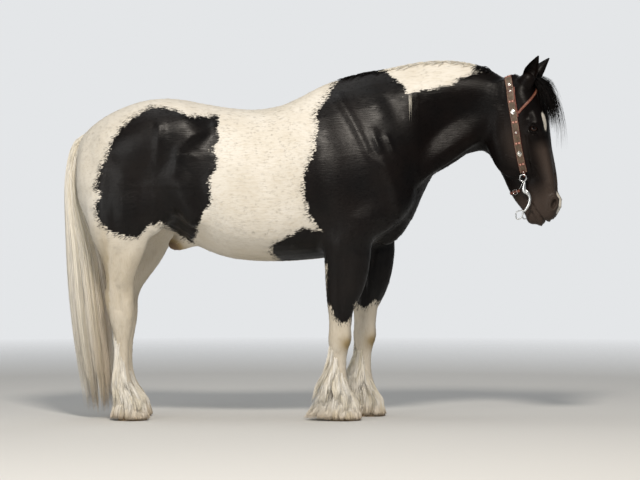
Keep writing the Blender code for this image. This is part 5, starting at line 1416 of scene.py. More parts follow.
def feather(tree, hind, left):
    """Silky hair combed down from behind the knee or hock, which opens like a bell over the hoof."""
    draw = np.random.default_rng(20 + 2 * hind + left)
    shape = FEATHER[hind]
    side = 1 if left else -1
    heights, table, middle = leg_table(tree, hind, left)
    strands = Strands(6)
    s = np.linspace(0, 1, 6)[None]
    hairs = (FEATHER_HAIRS, 1)
    for _ in range(FEATHER_LOCKS):
        angle = draw.uniform(0, 2 * math.pi)
        if draw.random() < 0.3:
            angle = math.pi + draw.normal(0, 0.55)
        behind = (0.5 - 0.5 * math.cos(angle)) ** 0.8
        top = 0.15 + (shape["top"] - 0.12) * behind
        root = 0.045 + (top - 0.045) * draw.uniform(0, 1) ** 1.15
        fall = draw.uniform(0.09, 0.16 + 0.05 * behind)
        low = draw.uniform(0.001, 0.006)
        roots = np.maximum(root + draw.uniform(-0.012, 0.012, hairs), 0.03)
        tips = roots - fall * draw.uniform(0.75, 1.0, hairs)
        z = roots + (np.maximum(tips, low + draw.uniform(0, 0.005, hairs)) - roots) * s
        own = angle + draw.normal(0, 0.13, hairs) * (1 - 0.5 * s) + draw.normal(0, 0.05) * s
        skin = looked_up(heights, table, z, own)
        ways = np.stack([np.cos(own), side * np.sin(own), 0 * own], -1)
        deep = np.where(ways[..., 0] > 0, shape["front"], shape["back"])
        wide = np.where(np.sin(own) > 0, shape["out"], shape["inside"])
        ground = middle + ways / np.hypot(ways[..., 0] / deep, ways[..., 1] / wide)[..., None]
        opened = np.clip((top + 0.05 - z) / (top + 0.05), 0, 1) ** (1.9 - 0.3 * behind)
        fullness = draw.uniform(0.45, 1.0) * draw.uniform(0.9, 1.0, hairs)
        share = opened * fullness * np.minimum(1.0, 0.15 + 1.9 * s) * (z < top + 0.05)
        paths = skin + (ground - skin) * share[..., None]
        paths[..., 2] = z
        lift = 0.004 * np.sin(math.pi * np.minimum(1, s * 0.9)) + 0.002 * s - 0.003 * (1 - s) ** 4
        paths += ways * lift[..., None]
        shades = lock_shades(draw, FEATHER_HAIRS)
        strands.add(paths, ways, HAIR_WIDTHS["feather"] * draw.uniform(0.6, 1.3, FEATHER_HAIRS), shades)
    return strands


def lie_of_coat(points):
    """Which way the short hair lies: back along the trunk, down the neck, the legs and the face."""
    x, _, z = unbend(points).T
    leg = ramp(z, 0.98, -0.2)[:, None]
    neck = ramp(x, 0.25, 0.3)[:, None]
    head = (ramp(head_frame(points)[:, 0], -0.02, 0.05) * (points[:, 0] > HEAD_FROM))[:, None]
    way = np.array([-0.95, 0, -0.3]) * (1 - neck) + np.array([-0.72, 0, -0.7]) * neck
    way = way * (1 - leg) + np.array([-0.12, 0, -1.0]) * leg
    return way * (1 - head) + np.array(head_axes(False)[0]) * head, leg[:, 0], head[:, 0]


def coat_tufts(points, faces, region, count, seed, edges=False):
    """Short flat tufts on one region of the skin, which break its outline and the edges of the black."""
    draw = np.random.default_rng(seed)
    a, b, c = (points[faces[:, k]] for k in range(3))
    normal = np.cross(b - a, c - a)
    area = np.linalg.norm(normal, axis=1) / 2
    middle = (a + b + c) / 3
    _, leg, head = lie_of_coat(middle)
    weight = area * region(middle) * (1 + 0.6 * leg + 2.0 * head) * (middle[:, 2] > 0.12)
    if edges:
        weight = weight * (np.abs(blackness(middle)) < 0.016)
    chosen = draw.choice(len(faces), count, p=weight / weight.sum())
    r, s = draw.uniform(0, 1, (2, count, 1))
    r, s = np.where(r + s > 1, 1 - r, r), np.where(r + s > 1, 1 - s, s)
    roots = a[chosen] + (b - a)[chosen] * r + (c - a)[chosen] * s
    up = normal[chosen] / (2 * area[chosen, None])
    way, leg, head = lie_of_coat(roots)
    way = way + draw.normal(0, 0.16, (count, 3))
    way = unit(way - up * (way * up).sum(1, keepdims=True))
    length, size, rise = (
        (trunk - by_leg * leg - by_head * head) * draw.uniform(least, most, count)
        for trunk, by_leg, by_head, least, most in TUFT_SIZES
    )
    if edges:
        length, rise = length * 1.25, rise * 0.6
    paths = np.stack([
        roots - up * 0.001,
        roots + way * (0.5 * length)[:, None] + up * (0.75 * rise)[:, None],
        roots + way * length[:, None] + up * rise[:, None],
    ], 1)
    strands = Strands(3)
    strands.add(paths, np.repeat(up[:, None], 3, 1), size, draw.uniform(0, 1, count))
    black = blackness(roots) + (0.01 * (1 - head) if edges else 0.0)
    return strands, black


def lashes(left):
    """Upper and lower lashes."""
    draw = np.random.default_rng(40 + left)
    strands = Strands(5)
    long, high, outward = (np.array(way) for way in eye_axes(left))
    centre = np.array(head_place(EYE_PLACE, left))
    down = np.array(head_axes(left)[0])
    for count, above, longer, rise in ((46, 1, 1, 0.15), (18, -0.9, 0.6, -0.5)):
        for place in draw.uniform(-0.85, 0.85, count):
            tall = math.sqrt(1 - place * place) * EYE_OPENING[1] * above
            flat = long * place * EYE_OPENING[0] + high * tall
            depth = math.sqrt(max(0.0, (EYE_RADIUS + 0.003) ** 2 - float(flat @ flat)))
            root = centre + flat + outward * depth
            length = draw.uniform(0.014, 0.024) * longer
            way = outward * 0.9 + high * rise + long * place * 0.5 + down * 0.35
            path = [root + way * length * k / 4 + down * length * 0.35 * (k / 4) ** 2 for k in range(5)]
            strands.add(np.array([path]), outward, HAIR_WIDTHS["lash"], draw.uniform(0, 1, 1))
    return strands


def linear(code):
    """A colour such as #a1b2c3 as the shaders want it."""
    parts = [int(code[i : i + 2], 16) / 255 for i in (1, 3, 5)]
    return (*(c / 12.92 if c <= 0.04045 else ((c + 0.055) / 1.055) ** 2.4 for c in parts), 1.0)


def add(tree, kind, inputs=(), stops=(), **settings):
    """Adds a node with its settings, values and links; a node as a value gives its first live output."""
    made = tree.nodes.new(kind)
    for key, value in settings.items():
        setattr(made, key, value)
    if stops:
        elements = made.color_ramp.elements
        while len(elements) < len(stops):
            elements.new(0.5)
        for element, (place, code) in zip(elements, stops):
            element.position = place
            element.color = linear(code)
    for key, value in dict(inputs).items():
        socket = made.inputs[key]
        if isinstance(value, bpy.types.Node):
            value = next(out for out in value.outputs if out.enabled)
        if isinstance(value, bpy.types.NodeSocket):
            tree.links.new(value, socket)
        elif isinstance(value, str) and value.startswith("#"):
            socket.default_value = linear(value)
        else:
            socket.default_value = value
    return made


def new_material(name):
    """A material with an empty tree, and the place on the object that its patterns read."""
    material = bpy.data.materials.new(name)
    material.use_nodes = True
    tree = material.node_tree
    tree.nodes.clear()
    return material, tree, add(tree, "ShaderNodeTexCoord").outputs["Object"]


def lie_of_hair(tree, where):
    """Noise drawn out along the short hair: back along the trunk, down the neck, and down the legs."""
    grown = {}
    for part, (turn, scale) in HAIR_STREAKS.items():
        turned = add(tree, "ShaderNodeMapping", {"Vector": where, "Rotation": turn, "Scale": scale})
        grown[part] = add(tree, NOISE, {"Vector": turned, "Scale": 1.0, "Detail": 2.0})
    neck = add(tree, NAMED, attribute_name="neck").outputs["Fac"]
    leg = add(tree, NAMED, attribute_name="leg").outputs["Fac"]
    body = add(tree, MIX, {0: neck, 2: grown["trunk"], 3: grown["neck"]}, data_type="FLOAT")
    return add(tree, MIX, {0: leg, 2: body, 3: grown["leg"]}, data_type="FLOAT")


def shares(tree, *names):
    """The outputs of the mesh's own attributes with these names."""
    return [add(tree, NAMED, attribute_name=name).outputs["Fac"] for name in names]


def painted(tree, colour, *coats):
    """The colour with others over it, each given by how much of it covers what is below, and itself."""
    for share, over in coats:
        colour = add(tree, MIX, {0: share, 6: colour, 7: over}, data_type="RGBA")
    return colour


def surfaced(material, **values):
    """Ends a material with its shader; underscores in the inputs' names stand for spaces."""
    inputs = {name.replace("_", " "): value for name, value in values.items()}
    tree = material.node_tree
    add(tree, OUTPUT, {"Surface": add(tree, SHADER, inputs)})
    return material


def short_coat_material():
    """Summer coat of a horse, short and oily: a satin gloss that the lie of the hair breaks into streaks."""
    material, tree, where = new_material("short_coat")
    streak = lie_of_hair(tree, where)
    wander = add(tree, NOISE, {"Vector": where, "Scale": 22.0, "Detail": 3.0})
    cloud = add(tree, NOISE, {"Vector": where, "Scale": 5.0, "Detail": 3.0})
    fine = add(tree, NOISE, {"Vector": where, "Scale": 420.0, "Detail": 2.0})
    depth, head, neck, face, stain_and_shade = shares(tree, "black", "head", "neck", "face", "stain_and_shade")

    ragged = add(tree, MATH, {0: streak, 1: 0.05, 2: -0.025}, operation="MULTIPLY_ADD")
    drifted = add(tree, MATH, {0: wander, 1: 0.03, 2: -0.015}, operation="MULTIPLY_ADD")
    edge = add(tree, MATH, {0: ragged, 1: drifted}, operation="ADD")
    calm = add(tree, RANGE, {"Value": head, "To Min": 1.0, "To Max": 0.15})
    black = add(tree, MATH, {0: edge, 1: calm, 2: depth}, operation="MULTIPLY_ADD")
    inside = add(tree, RANGE, {"Value": black, "From Min": -0.0012, "From Max": 0.0012})

    clouded = add(tree, RANGE, {"Value": cloud, "From Min": 0.35, "From Max": 0.7})
    # Painted shadow: the white coat's streaks take a darker colour, for the shade between the hairs
    combed = add(tree, RANGE, {"Value": streak, "From Min": 0.45, "From Max": 0.8, "To Max": 0.4})
    bare = add(tree, RANGE, {"Value": stain_and_shade, "From Min": 1.0, "From Max": 1.6})
    white = painted(tree, WHITE_COAT, (clouded, WHITE_COAT_SHADE), (combed, WHITE_COAT_STREAK_SHADOW))
    # Yellow-brown over the white: staining at knees and ground, and painted shade low on the body and legs
    white = painted(tree, white, (stain_and_shade, STAIN_AND_SHADE), (bare, BARE_SKIN))
    # Brown on the face: the muzzle's own colour, and a painted highlight on nose ridge and cheek
    dark = painted(tree, BLACK_COAT, (clouded, BLACK_COAT_BROWN), (face, FACE_BROWN_AND_HIGHLIGHT))

    satin = add(tree, RANGE, {"Value": inside, "To Min": 0.52, "To Max": 0.27})
    rough = add(tree, MATH, {0: streak, 1: 0.22, 2: satin}, operation="MULTIPLY_ADD")
    height = add(tree, MATH, {0: fine, 1: 0.25, 2: streak}, operation="MULTIPLY_ADD")
    bump = add(tree, BUMP, {"Height": height, "Strength": 0.36, "Distance": 0.0022})
    dull = add(tree, MATH, {0: neck, 1: head}, operation="MAXIMUM")
    gloss = add(tree, RANGE, {"Value": dull, "To Min": COAT_GLOSS[0], "To Max": COAT_GLOSS[1]})
    colour = painted(tree, white, (inside, dark))
    return surfaced(material, Base_Color=colour, Roughness=rough, Normal=bump, Specular_IOR_Level=gloss)


def long_hair_material():
    """Horsehair: coloured by where it grows, yellowed where it hangs low, and yellowed with painted shade
    where it lies against the legs.
    """
    material, tree, _ = new_material("long_hair")
    black, shade, along, stain_and_shade = shares(tree, "black", "shade", "along", "stain_and_shade")
    white = add(tree, RAMP, {"Fac": shade}, WHITE_HAIR)
    dark = add(tree, RAMP, {"Fac": shade}, BLACK_HAIR)
    lower = add(tree, RANGE, {"Value": along, "To Min": 0.35, "To Max": 1.0})
    # Yellow towards the tips where the hair holds yellowing: part real staining, part painted shade by the
    # legs
    golden = add(tree, MATH, {0: lower, 1: stain_and_shade}, operation="MULTIPLY")
    inside = add(tree, RANGE, {"Value": black, "From Min": -0.001, "From Max": 0.001})
    colour = painted(tree, white, (golden, HAIR_STAIN_AND_SHADE), (inside, dark))
    return surfaced(material, Base_Color=colour, Roughness=0.48, Specular_IOR_Level=0.2)


def leather_ground(name, grain_scale, patch_scale, pale, dark):
    """A leather: its material and tree, the share of the strap's width, grain, patches and colour."""
    material, tree, where = new_material(name)
    share = shares(tree, "across")[0]
    grain = add(tree, NOISE, {"Vector": where, "Scale": grain_scale, "Detail": 3.0})
    patch = add(tree, NOISE, {"Vector": where, "Scale": patch_scale, "Detail": 3.0})
    patchy = add(tree, RANGE, {"Value": patch, **MIDDLE})
    return material, tree, share, grain, patch, painted(tree, pale, (patchy, dark))


def tooled_leather_material():
    """Tooled cowhide: a carved vine with painted flowers between its studs, dyed red along its edges."""
    material, tree, share, grain, patch, colour = leather_ground(
        "tooled_leather", 900.0, 70.0, TOOLED_LEATHER, TOOLED_LEATHER_DARK
    )
    across = add(tree, MATH, {0: share, 1: STRAP_WIDTH / 2}, operation="MULTIPLY")
    ends = {1: FIRST_STUD + MOTIF_PERIOD, 2: FIRST_STUD}
    local = add(tree, MATH, {0: shares(tree, "run")[0], **ends}, operation="WRAP")
    plan = add(tree, "ShaderNodeCombineXYZ", {"X": local, "Y": across})

    phase = add(tree, MATH, {0: local, 1: 8 * math.pi / MOTIF_PERIOD}, operation="MULTIPLY")
    wave = add(tree, MATH, {0: phase}, operation="SINE")
    beside = add(tree, MATH, {0: wave, 1: -VINE_SWING, 2: across}, operation="MULTIPLY_ADD")
    far = add(tree, MATH, {0: beside}, operation="ABSOLUTE")
    vine = add(tree, RANGE, {"Value": far, "From Min": 0.0009, "From Max": 0.002, **FALLING})
    faded = add(tree, MATH, {0: vine, 1: 0.75}, operation="MULTIPLY")
    colour = painted(tree, colour, (faded, VINE_GREEN))
    carved = vine
    for side in (-FLOWER_ASIDE, FLOWER_ASIDE):
        middle = (FIRST_STUD + MOTIF_PERIOD / 2, side, 0)
        offset = add(tree, VECTOR, {0: plan, 1: middle}, operation="SUBTRACT")
        reach = add(tree, VECTOR, {0: offset}, operation="LENGTH")
        parts = add(tree, "ShaderNodeSeparateXYZ", {0: offset}).outputs
        angle = add(tree, MATH, {0: parts["Y"], 1: parts["X"]}, operation="ARCTAN2")
        five = add(tree, MATH, {0: angle, 1: 5.0}, operation="MULTIPLY")
        petals = add(tree, MATH, {0: five}, operation="COSINE")
        edge = add(tree, MATH, {0: petals, 1: -0.0013, 2: reach}, operation="MULTIPLY_ADD")
        flower = add(tree, RANGE, {"Value": edge, "From Min": 0.0052, "From Max": 0.0062, **FALLING})
        heart = add(tree, RANGE, {"Value": edge, "From Min": 0.0026, "From Max": 0.0036, **FALLING})
        colour = painted(tree, colour, (flower, FLOWER_RED), (heart, FLOWER_HEART))
        carved = add(tree, MATH, {0: carved, 1: flower}, operation="MAXIMUM")
    for place in (FIRST_STUD, FIRST_STUD + MOTIF_PERIOD):
        reach = add(tree, VECTOR, {0: plan, 1: (place, 0, 0)}, operation="DISTANCE")
        halo = add(tree, RANGE, {"Value": reach, "From Min": 0.0088, "From Max": 0.0112, **FALLING})
        colour = painted(tree, colour, (halo, DYED_RED))
    off = add(tree, MATH, {0: share}, operation="ABSOLUTE")
    border = add(tree, RANGE, {"Value": off, "From Min": 0.82, "From Max": 0.9})
    worn = add(tree, RANGE, {"Value": grain, "From Min": 0.62, "From Max": 0.8, "To Max": 0.35})
    colour = painted(tree, colour, (border, DYED_RED_EDGE), (worn, LEATHER_PORE))
    pressed = add(tree, MATH, {0: grain, 1: 0.6, 2: carved}, operation="MULTIPLY_ADD")
    bump = add(tree, BUMP, {"Height": pressed, "Strength": 0.6, "Distance": 0.0008})
    waxed = add(tree, RANGE, {"Value": patch, "To Min": 0.38, "To Max": 0.54, **MIDDLE})
    return surfaced(material, Base_Color=colour, Roughness=waxed, Normal=bump)


def bridle_leather_material():
    """Waxed bridle leather, red-brown, mottled and dark at its edges."""
    material, tree, share, grain, _, colour = leather_ground(
        "bridle_leather", 800.0, 60.0, BRIDLE_LEATHER, BRIDLE_LEATHER_DARK
    )
    off = add(tree, MATH, {0: share}, operation="ABSOLUTE")
    border = add(tree, RANGE, {"Value": off, "From Min": 0.7, "From Max": 0.95})
    colour = painted(tree, colour, (border, BRIDLE_LEATHER_EDGE))
    bump = add(tree, BUMP, {"Height": grain, "Strength": 0.5, "Distance": 0.0006})
    waxed = add(tree, RANGE, {"Value": grain, "To Min": 0.34, "To Max": 0.5, **MIDDLE})
    return surfaced(material, Base_Color=colour, Roughness=waxed, Normal=bump)


def metal_material(name, scale, bright, dull, smooth, hazy):
    """A polished metal with the fine scratches and haze of use."""
    material, tree, where = new_material(name)
    rub = add(tree, NOISE, {"Vector": where, "Scale": scale, "Detail": 4.0})
    rubbed = add(tree, RANGE, {"Value": rub, **MIDDLE})
    rough = add(tree, RANGE, {"Value": rubbed, "To Min": smooth, "To Max": hazy})
    return surfaced(material, Base_Color=painted(tree, bright, (rubbed, dull)), Roughness=rough, Metallic=1.0)


def thread_material():
    """Waxed linen thread, with its twist."""
    material, tree, where = new_material("waxed_thread")
    twist = add(tree, NOISE, {"Vector": where, "Scale": 1500.0})
    twisted = add(tree, RANGE, {"Value": twist, **MIDDLE})
    colour = painted(tree, THREAD, (twisted, THREAD_SHADE))
    bump = add(tree, BUMP, {"Height": twist, "Strength": 0.4, "Distance": 0.0002})
    return surfaced(material, Base_Color=colour, Roughness=0.6, Normal=bump)


def finish_piece(obj, name, slot, *nodes):
    """Moves a drawn piece into the frame and names it; the slot that it is given is not used."""
    obj.name = name
    obj.data.name = name
    obj.data.transform(Matrix.Translation(SHIFT))
    obj.data.update()
    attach(obj, "root")
    if nodes:
        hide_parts(*nodes)
    return obj


def set_attribute(mesh, name, values):
    """Gives each point of the mesh its value of this name."""
    made = mesh.attributes.get(name) or mesh.attributes.new(name, "FLOAT", "POINT")
    made.data.foreach_set("value", np.asarray(values, np.float32))


def stains_and_shade(points):
    """How yellow the white hair is: at the knees and the ground, and in the tail's inner side, where the
    yellow is partly painted shade from the hind legs.
    """
    x, y, z = points.T
    step = np.where((y > 0) & (x > GIRTH), FORE_STEP, 0.0)
    knee = hump(z - 0.385, 0.035) * ramp(x - step, 0.12, 0.05) * (x > GIRTH)
    low = ramp(z, 0.07, -0.06) * 0.45
    # Partly real yellowing and partly painted shade: the tail's side against the hind legs, and the skin
    # behind them, more of it downwards from 1.25 m
    yellowed_and_shaded = ramp(x, -1.17, 0.12) * ramp(z, 1.25, -0.45) * (x < -1.03)
    return np.clip(0.75 * knee + low + 0.35 * yellowed_and_shaded, 0, 1)


def mark_regions(mesh, points, each=1):
    """Says where on the horse a mesh grows, a place for each so many points; a yellowing over 1 is bare skin,
    and low on the body and legs the yellowing is painted shade.
    """
    x, y, z = points.T
    u, _, v = head_frame(points).T
    head = ramp(u, -0.02, 0.05) * (x > HEAD_FROM)
    # Painted highlight: the nose ridge and the cheek, where light catches the face, take a paler brown; the
    # muzzle's brown is its own colour
    nose = hump(v - 0.07, 0.035) * ramp(u, 0.36, 0.06)
    cheek = 0.6 * hump(u - 0.36, 0.1) * hump(v + 0.06, 0.05)
    # Painted shade: from 1.05 m down to 0.8 m the body and legs take in more of the yellow-brown, for the
    # shade under the belly and on the legs
    legs = ramp(z, 1.05, -0.25) * 0.36
    sheath = 2.0 * hump(x + 0.72, 0.05) * hump(z - 0.87, 0.04) * hump(y, 0.08)
    for name, values in {
        "leg": ramp(z, 0.95, -0.15),
        "neck": ramp(x, 0.3, 0.25),
        "head": head,
        "face": head * np.clip(nose + cheek + ramp(u, 0.56, 0.1), 0, 1) * 0.85,
        "stain_and_shade": np.clip(stains_and_shade(points) + legs, 0, 1) + sheath,
    }.items():
        set_attribute(mesh, name, np.repeat(values, each))


def make_skin():
    """The skin with its markings and its short coat's material."""
    obj = skin_object()
    points, _ = mesh_arrays(obj.data)
    set_attribute(obj.data, "black", blackness(points))
    mark_regions(obj.data, points)
    obj.data.materials.clear()
    return dressed(obj, short_coat_material(), 60)


def eye_material():
    """A horse's eye: dark brown, a level pupil, wet over all."""
    material, tree, _ = new_material("wet_eye")
    across, up = shares(tree, "across", "up")
    plan = add(tree, "ShaderNodeCombineXYZ", {"X": across, "Y": up})
    far = add(tree, VECTOR, {0: plan}, operation="LENGTH")
    iris = add(tree, RAMP, {"Fac": far}, IRIS)
    squeezed = add(tree, VECTOR, {0: plan, 1: PUPIL}, operation="DIVIDE")
    reach = add(tree, VECTOR, {0: squeezed}, operation="LENGTH")
    pupil = add(tree, RANGE, {"Value": reach, "From Min": 0.92, "From Max": 1.08, **FALLING})
    return surfaced(material, Base_Color=painted(tree, iris, (pupil, PUPIL_BLACK)), Roughness=0.06, IOR=1.38)


def make_eye(left, material):
    """An eyeball whose wet front bulges a little."""
    centre = head_place(EYE_PLACE, left)
    obj = ball_mesh("eye", centre, EYE_RADIUS, 64, 48)
    long, high, outward = (np.array(way) for way in eye_axes(left))
    points, _ = mesh_arrays(obj.data)
    from_centre = (points - np.array(centre)) / EYE_RADIUS
    set_attribute(obj.data, "across", from_centre @ long)
    set_attribute(obj.data, "up", from_centre @ high)
    facing = np.clip(from_centre @ outward, 0, 1)
    move_points(obj.data, points + from_centre * (EYE_BULGE * facing**6)[:, None])
    dressed(obj, material)
    return finish_piece(obj, f"eyeball_{SIDES[left]}", "eye", f"eye_{SIDES[left]}")


def horn_material():
    """Hoof horn: pale, with rings of growth and a waxy gloss."""
    material, tree, where = new_material("hoof_horn")
    height = add(tree, "ShaderNodeSeparateXYZ", {0: where}).outputs["Z"]
    fleck = add(tree, NOISE, {"Vector": where, "Scale": 60.0, "Detail": 4.0})
    risen = add(tree, MATH, {0: height, 1: 2 * math.pi / GROWTH_RING}, operation="MULTIPLY")
    uneven = add(tree, MATH, {0: fleck, 1: 3.0, 2: risen}, operation="MULTIPLY_ADD")
    rings = add(tree, MATH, {0: uneven}, operation="SINE")
    colour = add(tree, RAMP, {"Fac": fleck}, HORN)
    bump = add(tree, BUMP, {"Height": rings, "Strength": 0.4, "Distance": 0.001})
    rough = add(tree, RANGE, {"Value": fleck, "To Min": 0.36, "To Max": 0.52, **MIDDLE})
    return surfaced(material, Base_Color=colour, Roughness=rough, Normal=bump)


def make_hoof(hind, left, material):
    """A horn capsule with a worn ground edge, and the soft heels behind."""
    hoof = {name: np.array(value) for name, value in (HIND_HOOF if hind else FORE_HOOF).items()}
    forward = step_of(0.0, left, hind)
    y = hoof["y"] if left else -hoof["y"]
    rings = []
    for t in HOOF_RINGS:
        inset = 0.0 if rings else 0.004
        front, back, width = (
            hoof[low] * (1 - t) + hoof[high] * t
            for low, high in (("toe", "front"), ("heel", "back"), ("ground", "coronet"))
        )
        shift = np.array((inset, 0))
        ahead = np.array((forward, 0))
        rings.append(ring(front + ahead - shift, back + ahead + shift, y, width - inset, 0.44, 2.2, 2.6, 40))
    obj = dressed(closed_tube("hoof", rings), material, 50)
    place = f"{ENDS[hind]}_{SIDES[left]}"
    return finish_piece(obj, f"horn_{place}", "horn", f"hoof_{place}")


def even_path(points, outs, step=STRAP_STEP):
    """The path resampled at even steps, with outward directions that turn smoothly."""
    outs = np.asarray(outs, float)
    for _ in range(3):
        outs = np.vstack([outs[:1], (outs[:-2] + 2 * outs[1:-1] + outs[2:]) / 4, outs[-1:]])
    rows = smooth_rows(np.hstack([np.asarray(points, float), outs]), 8)
    run = np.append(0, np.cumsum(np.linalg.norm(np.diff(rows[:, :3], axis=0), axis=1)))
    places = np.linspace(0, run[-1], max(3, int(round(run[-1] / step)) + 1))
    rows = rows_at(places, run, rows)
    return rows[:, :3], unit(rows[:, 3:]), places


def strap(name, points, outs, width, thickness, lift, material, step=STRAP_STEP):
    """A flat strap with a crowned face and rubbed edges; its mesh knows its own length and width."""
    points, outs, run = even_path(points, outs, step)
    ahead = unit(np.gradient(points, axis=0))
    up = unit(outs - ahead * (outs * ahead).sum(1, keepdims=True))
    across, high = np.array(STRAP_SECTION).T
    obj = closed_tube(name, [
        p + np.outer(across * width / 2, s) + np.outer(lift + high * thickness, n)
        for p, s, n in zip(points, np.cross(ahead, up), up)
    ])
    set_attribute(obj.data, "run", np.append(np.repeat(run, len(across)), [run[0], run[-1]]))
    set_attribute(obj.data, "across", np.append(np.tile(across, len(run)), [0.0, 0.0]))
    return dressed(obj, material, 50)


def repeat_tree():
    """A Geometry Nodes tree that sets small domes along a path, each turned to the path's own outside."""
    tree = bpy.data.node_groups.new("repeat_along", "GeometryNodeTree")
    for name, kind, way in (
        ("Geometry", "Geometry", "INPUT"), ("Spacing", "Float", "INPUT"), ("Size", "Vector", "INPUT"),
        ("Segments", "Int", "INPUT"), ("Material", "Material", "INPUT"), ("Geometry", "Geometry", "OUTPUT"),
    ):
        tree.interface.new_socket(name, in_out=way, socket_type=f"NodeSocket{kind}")
    given = add(tree, "NodeGroupInput").outputs
    path = add(tree, "GeometryNodeMeshToCurve", {"Mesh": given["Geometry"]})
    even = add(tree, "GeometryNodeResampleCurve", {"Curve": path, "Length": given["Spacing"]}, mode="LENGTH")
    out = add(tree, "GeometryNodeInputNamedAttribute", {"Name": "out"}, data_type="FLOAT_VECTOR")
    upright = add(tree, "FunctionNodeAlignRotationToVector", {"Vector": out}, axis="Z")
    ahead = {"Rotation": upright, "Vector": add(tree, "GeometryNodeInputTangent")}
    turned = add(tree, "FunctionNodeAlignRotationToVector", ahead, axis="X", pivot_axis="Z")
    ball = add(tree, "GeometryNodeMeshUVSphere", {"Segments": given["Segments"], "Rings": 8, "Radius": 1.0})
    placed = {"Points": even, "Instance": ball, "Rotation": turned, "Scale": given["Size"]}
    domes = add(tree, "GeometryNodeInstanceOnPoints", placed)
    real = add(tree, "GeometryNodeRealizeInstances", {"Geometry": domes})
    smooth = add(tree, "GeometryNodeSetShadeSmooth", {"Geometry": real})
    done = add(tree, "GeometryNodeSetMaterial", {"Geometry": smooth, "Material": given["Material"]})
    add(tree, "NodeGroupOutput", {"Geometry": done})
    return tree


def stitched(tree, line, outs, thread):
    """A row of stitches along a line: domes that Geometry Nodes repeat, as one plain mesh."""
    mesh = bpy.data.meshes.new("stitches")
    mesh.from_pydata(np.asarray(line).tolist(), [(k, k + 1) for k in range(len(line) - 1)], [])
    facing = mesh.attributes.new("out", "FLOAT_VECTOR", "POINT")
    facing.data.foreach_set("vector", np.asarray(outs, np.float32).ravel())
    obj = new_object("stitches", mesh)
    modifier = obj.modifiers.new("repeat", "NODES")
    modifier.node_group = tree
    values = {"Spacing": STITCH_STEP, "Size": STITCH_SIZE, "Segments": 6, "Material": thread}
    for item in tree.interface.items_tree:
        if item.in_out == "INPUT" and item.name in values:
            modifier[item.identifier] = values[item.name]
    apply_all(obj)
    return obj


def joined(name, pieces):
    """One object of several."""
    mesh = bpy.data.meshes.new(name)
    materials = []
    with edited(mesh) as shape:
        for piece in pieces:
            base = len(shape.faces)
            shape.from_mesh(piece.data)
            shape.faces.ensure_lookup_table()
            materials += [m for m in piece.data.materials if m not in materials]
            slots = [materials.index(m) for m in piece.data.materials]
            for face in shape.faces[base:]:
                face.material_index = slots[min(face.material_index, len(slots) - 1)]
    for material in materials:
        mesh.materials.append(material)
    for piece in pieces:
        bpy.data.objects.remove(piece)
    return new_object(name, mesh)


def cast_path(skin, lines):
    """Places and outward directions where lines, each a start and a way, leave the skin."""
    found = [skin.ray_cast(start, way)[:2] for start, way in lines]
    return np.array([p for p, _ in found]), np.array([n for _, n in found])


def cheek_path(skin, left, aside=0.0, until=math.inf):
    """Down one side of the head, where the cheek strap lies."""
    out = head_axes(left)[1]
    return cast_path(skin, [(head_place((u, 0, v + aside), left), out) for u, v in CHEEK_PLACES if u < until])


def fan(centre, first, second, reach, count):
    """Lines from a place in the head's middle, that turn so many degrees to both sides of the second way."""
    start = head_place((centre[0], 0, centre[1]), True)
    angles = np.radians(np.linspace(-reach, reach, count))
    return [(start, first * math.sin(a) + second * math.cos(a)) for a in angles]


def crown_path(skin):
    """Over the poll from the right cheek strap's top to the left one's."""
    down, out, _ = head_axes(True)
    points, outs = cast_path(skin, fan(CROWN_CENTRE, out, -down, 70, 13))
    right, right_outs = cheek_path(skin, False)
    left, left_outs = cheek_path(skin, True)
    return np.vstack([right[:1], points, left[:1]]), np.vstack([right_outs[:1], outs, left_outs[:1]])


def browband_path(skin):
    """From one cheek strap over the forehead, under the forelock, to the other."""
    _, out, face = head_axes(True)
    lines = []
    for angle in np.radians(np.linspace(-90, 90, 15)):
        share = abs(angle) / (math.pi / 2)
        u = BROWBAND_FRONT[0] + (BROWBAND_SIDE[0] - BROWBAND_FRONT[0]) * share**1.4
        v = BROWBAND_FRONT[1] + (BROWBAND_SIDE[1] - BROWBAND_FRONT[1]) * share
        lines.append((head_place((u, 0, v), True), out * math.sin(angle) + face * math.cos(angle)))
    return cast_path(skin, lines)


def curb_path(skin):
    """Behind the chin, from one cheek of the bit to the other."""
    _, out, face = head_axes(True)
    return cast_path(skin, fan(CURB_CENTRE, out, -face, 75, 13))


def bar_along(name, path, wide, deep, flat, material, closed=False, around=16):
    """A steel bar of oval section along a path: half widths, half depths, and the way its flat side faces."""
    path = np.asarray(path, float)
    ahead = np.roll(path, -1, 0) - np.roll(path, 1, 0) if closed else np.gradient(path, axis=0)
    ahead = unit(ahead)
    side = unit(np.cross(ahead, np.asarray(flat, float)))
    turn = turns(around)
    wide, deep = np.broadcast_to(wide, len(path)), np.broadcast_to(deep, len(path))
    rings = np.array([
        p + np.outer(np.cos(turn) * w, s) + np.outer(np.sin(turn) * d, n)
        for p, s, n, w, d in zip(path, side, np.cross(side, ahead), wide, deep)
    ])
    if not closed:
        return dressed(closed_tube(name, rings), material)
    count = len(path)
    faces = []
    for i in range(count):
        for j in range(around):
            k, n = (j + 1) % around, (i + 1) % count
            faces.append((i * around + j, i * around + k, n * around + k, n * around + j))
    obj = new_object(name, poly_mesh(name, rings.reshape(-1, 3), faces))
    faces_out(obj.data)
    return dressed(obj, material)


def closed_course(points, steps=8):
    """A smooth closed line through the points."""
    points = np.asarray(points, float)
    rows = smooth_rows(np.vstack([points[-1:], points, points[:2]]), steps)
    return rows[steps : -steps - 1]


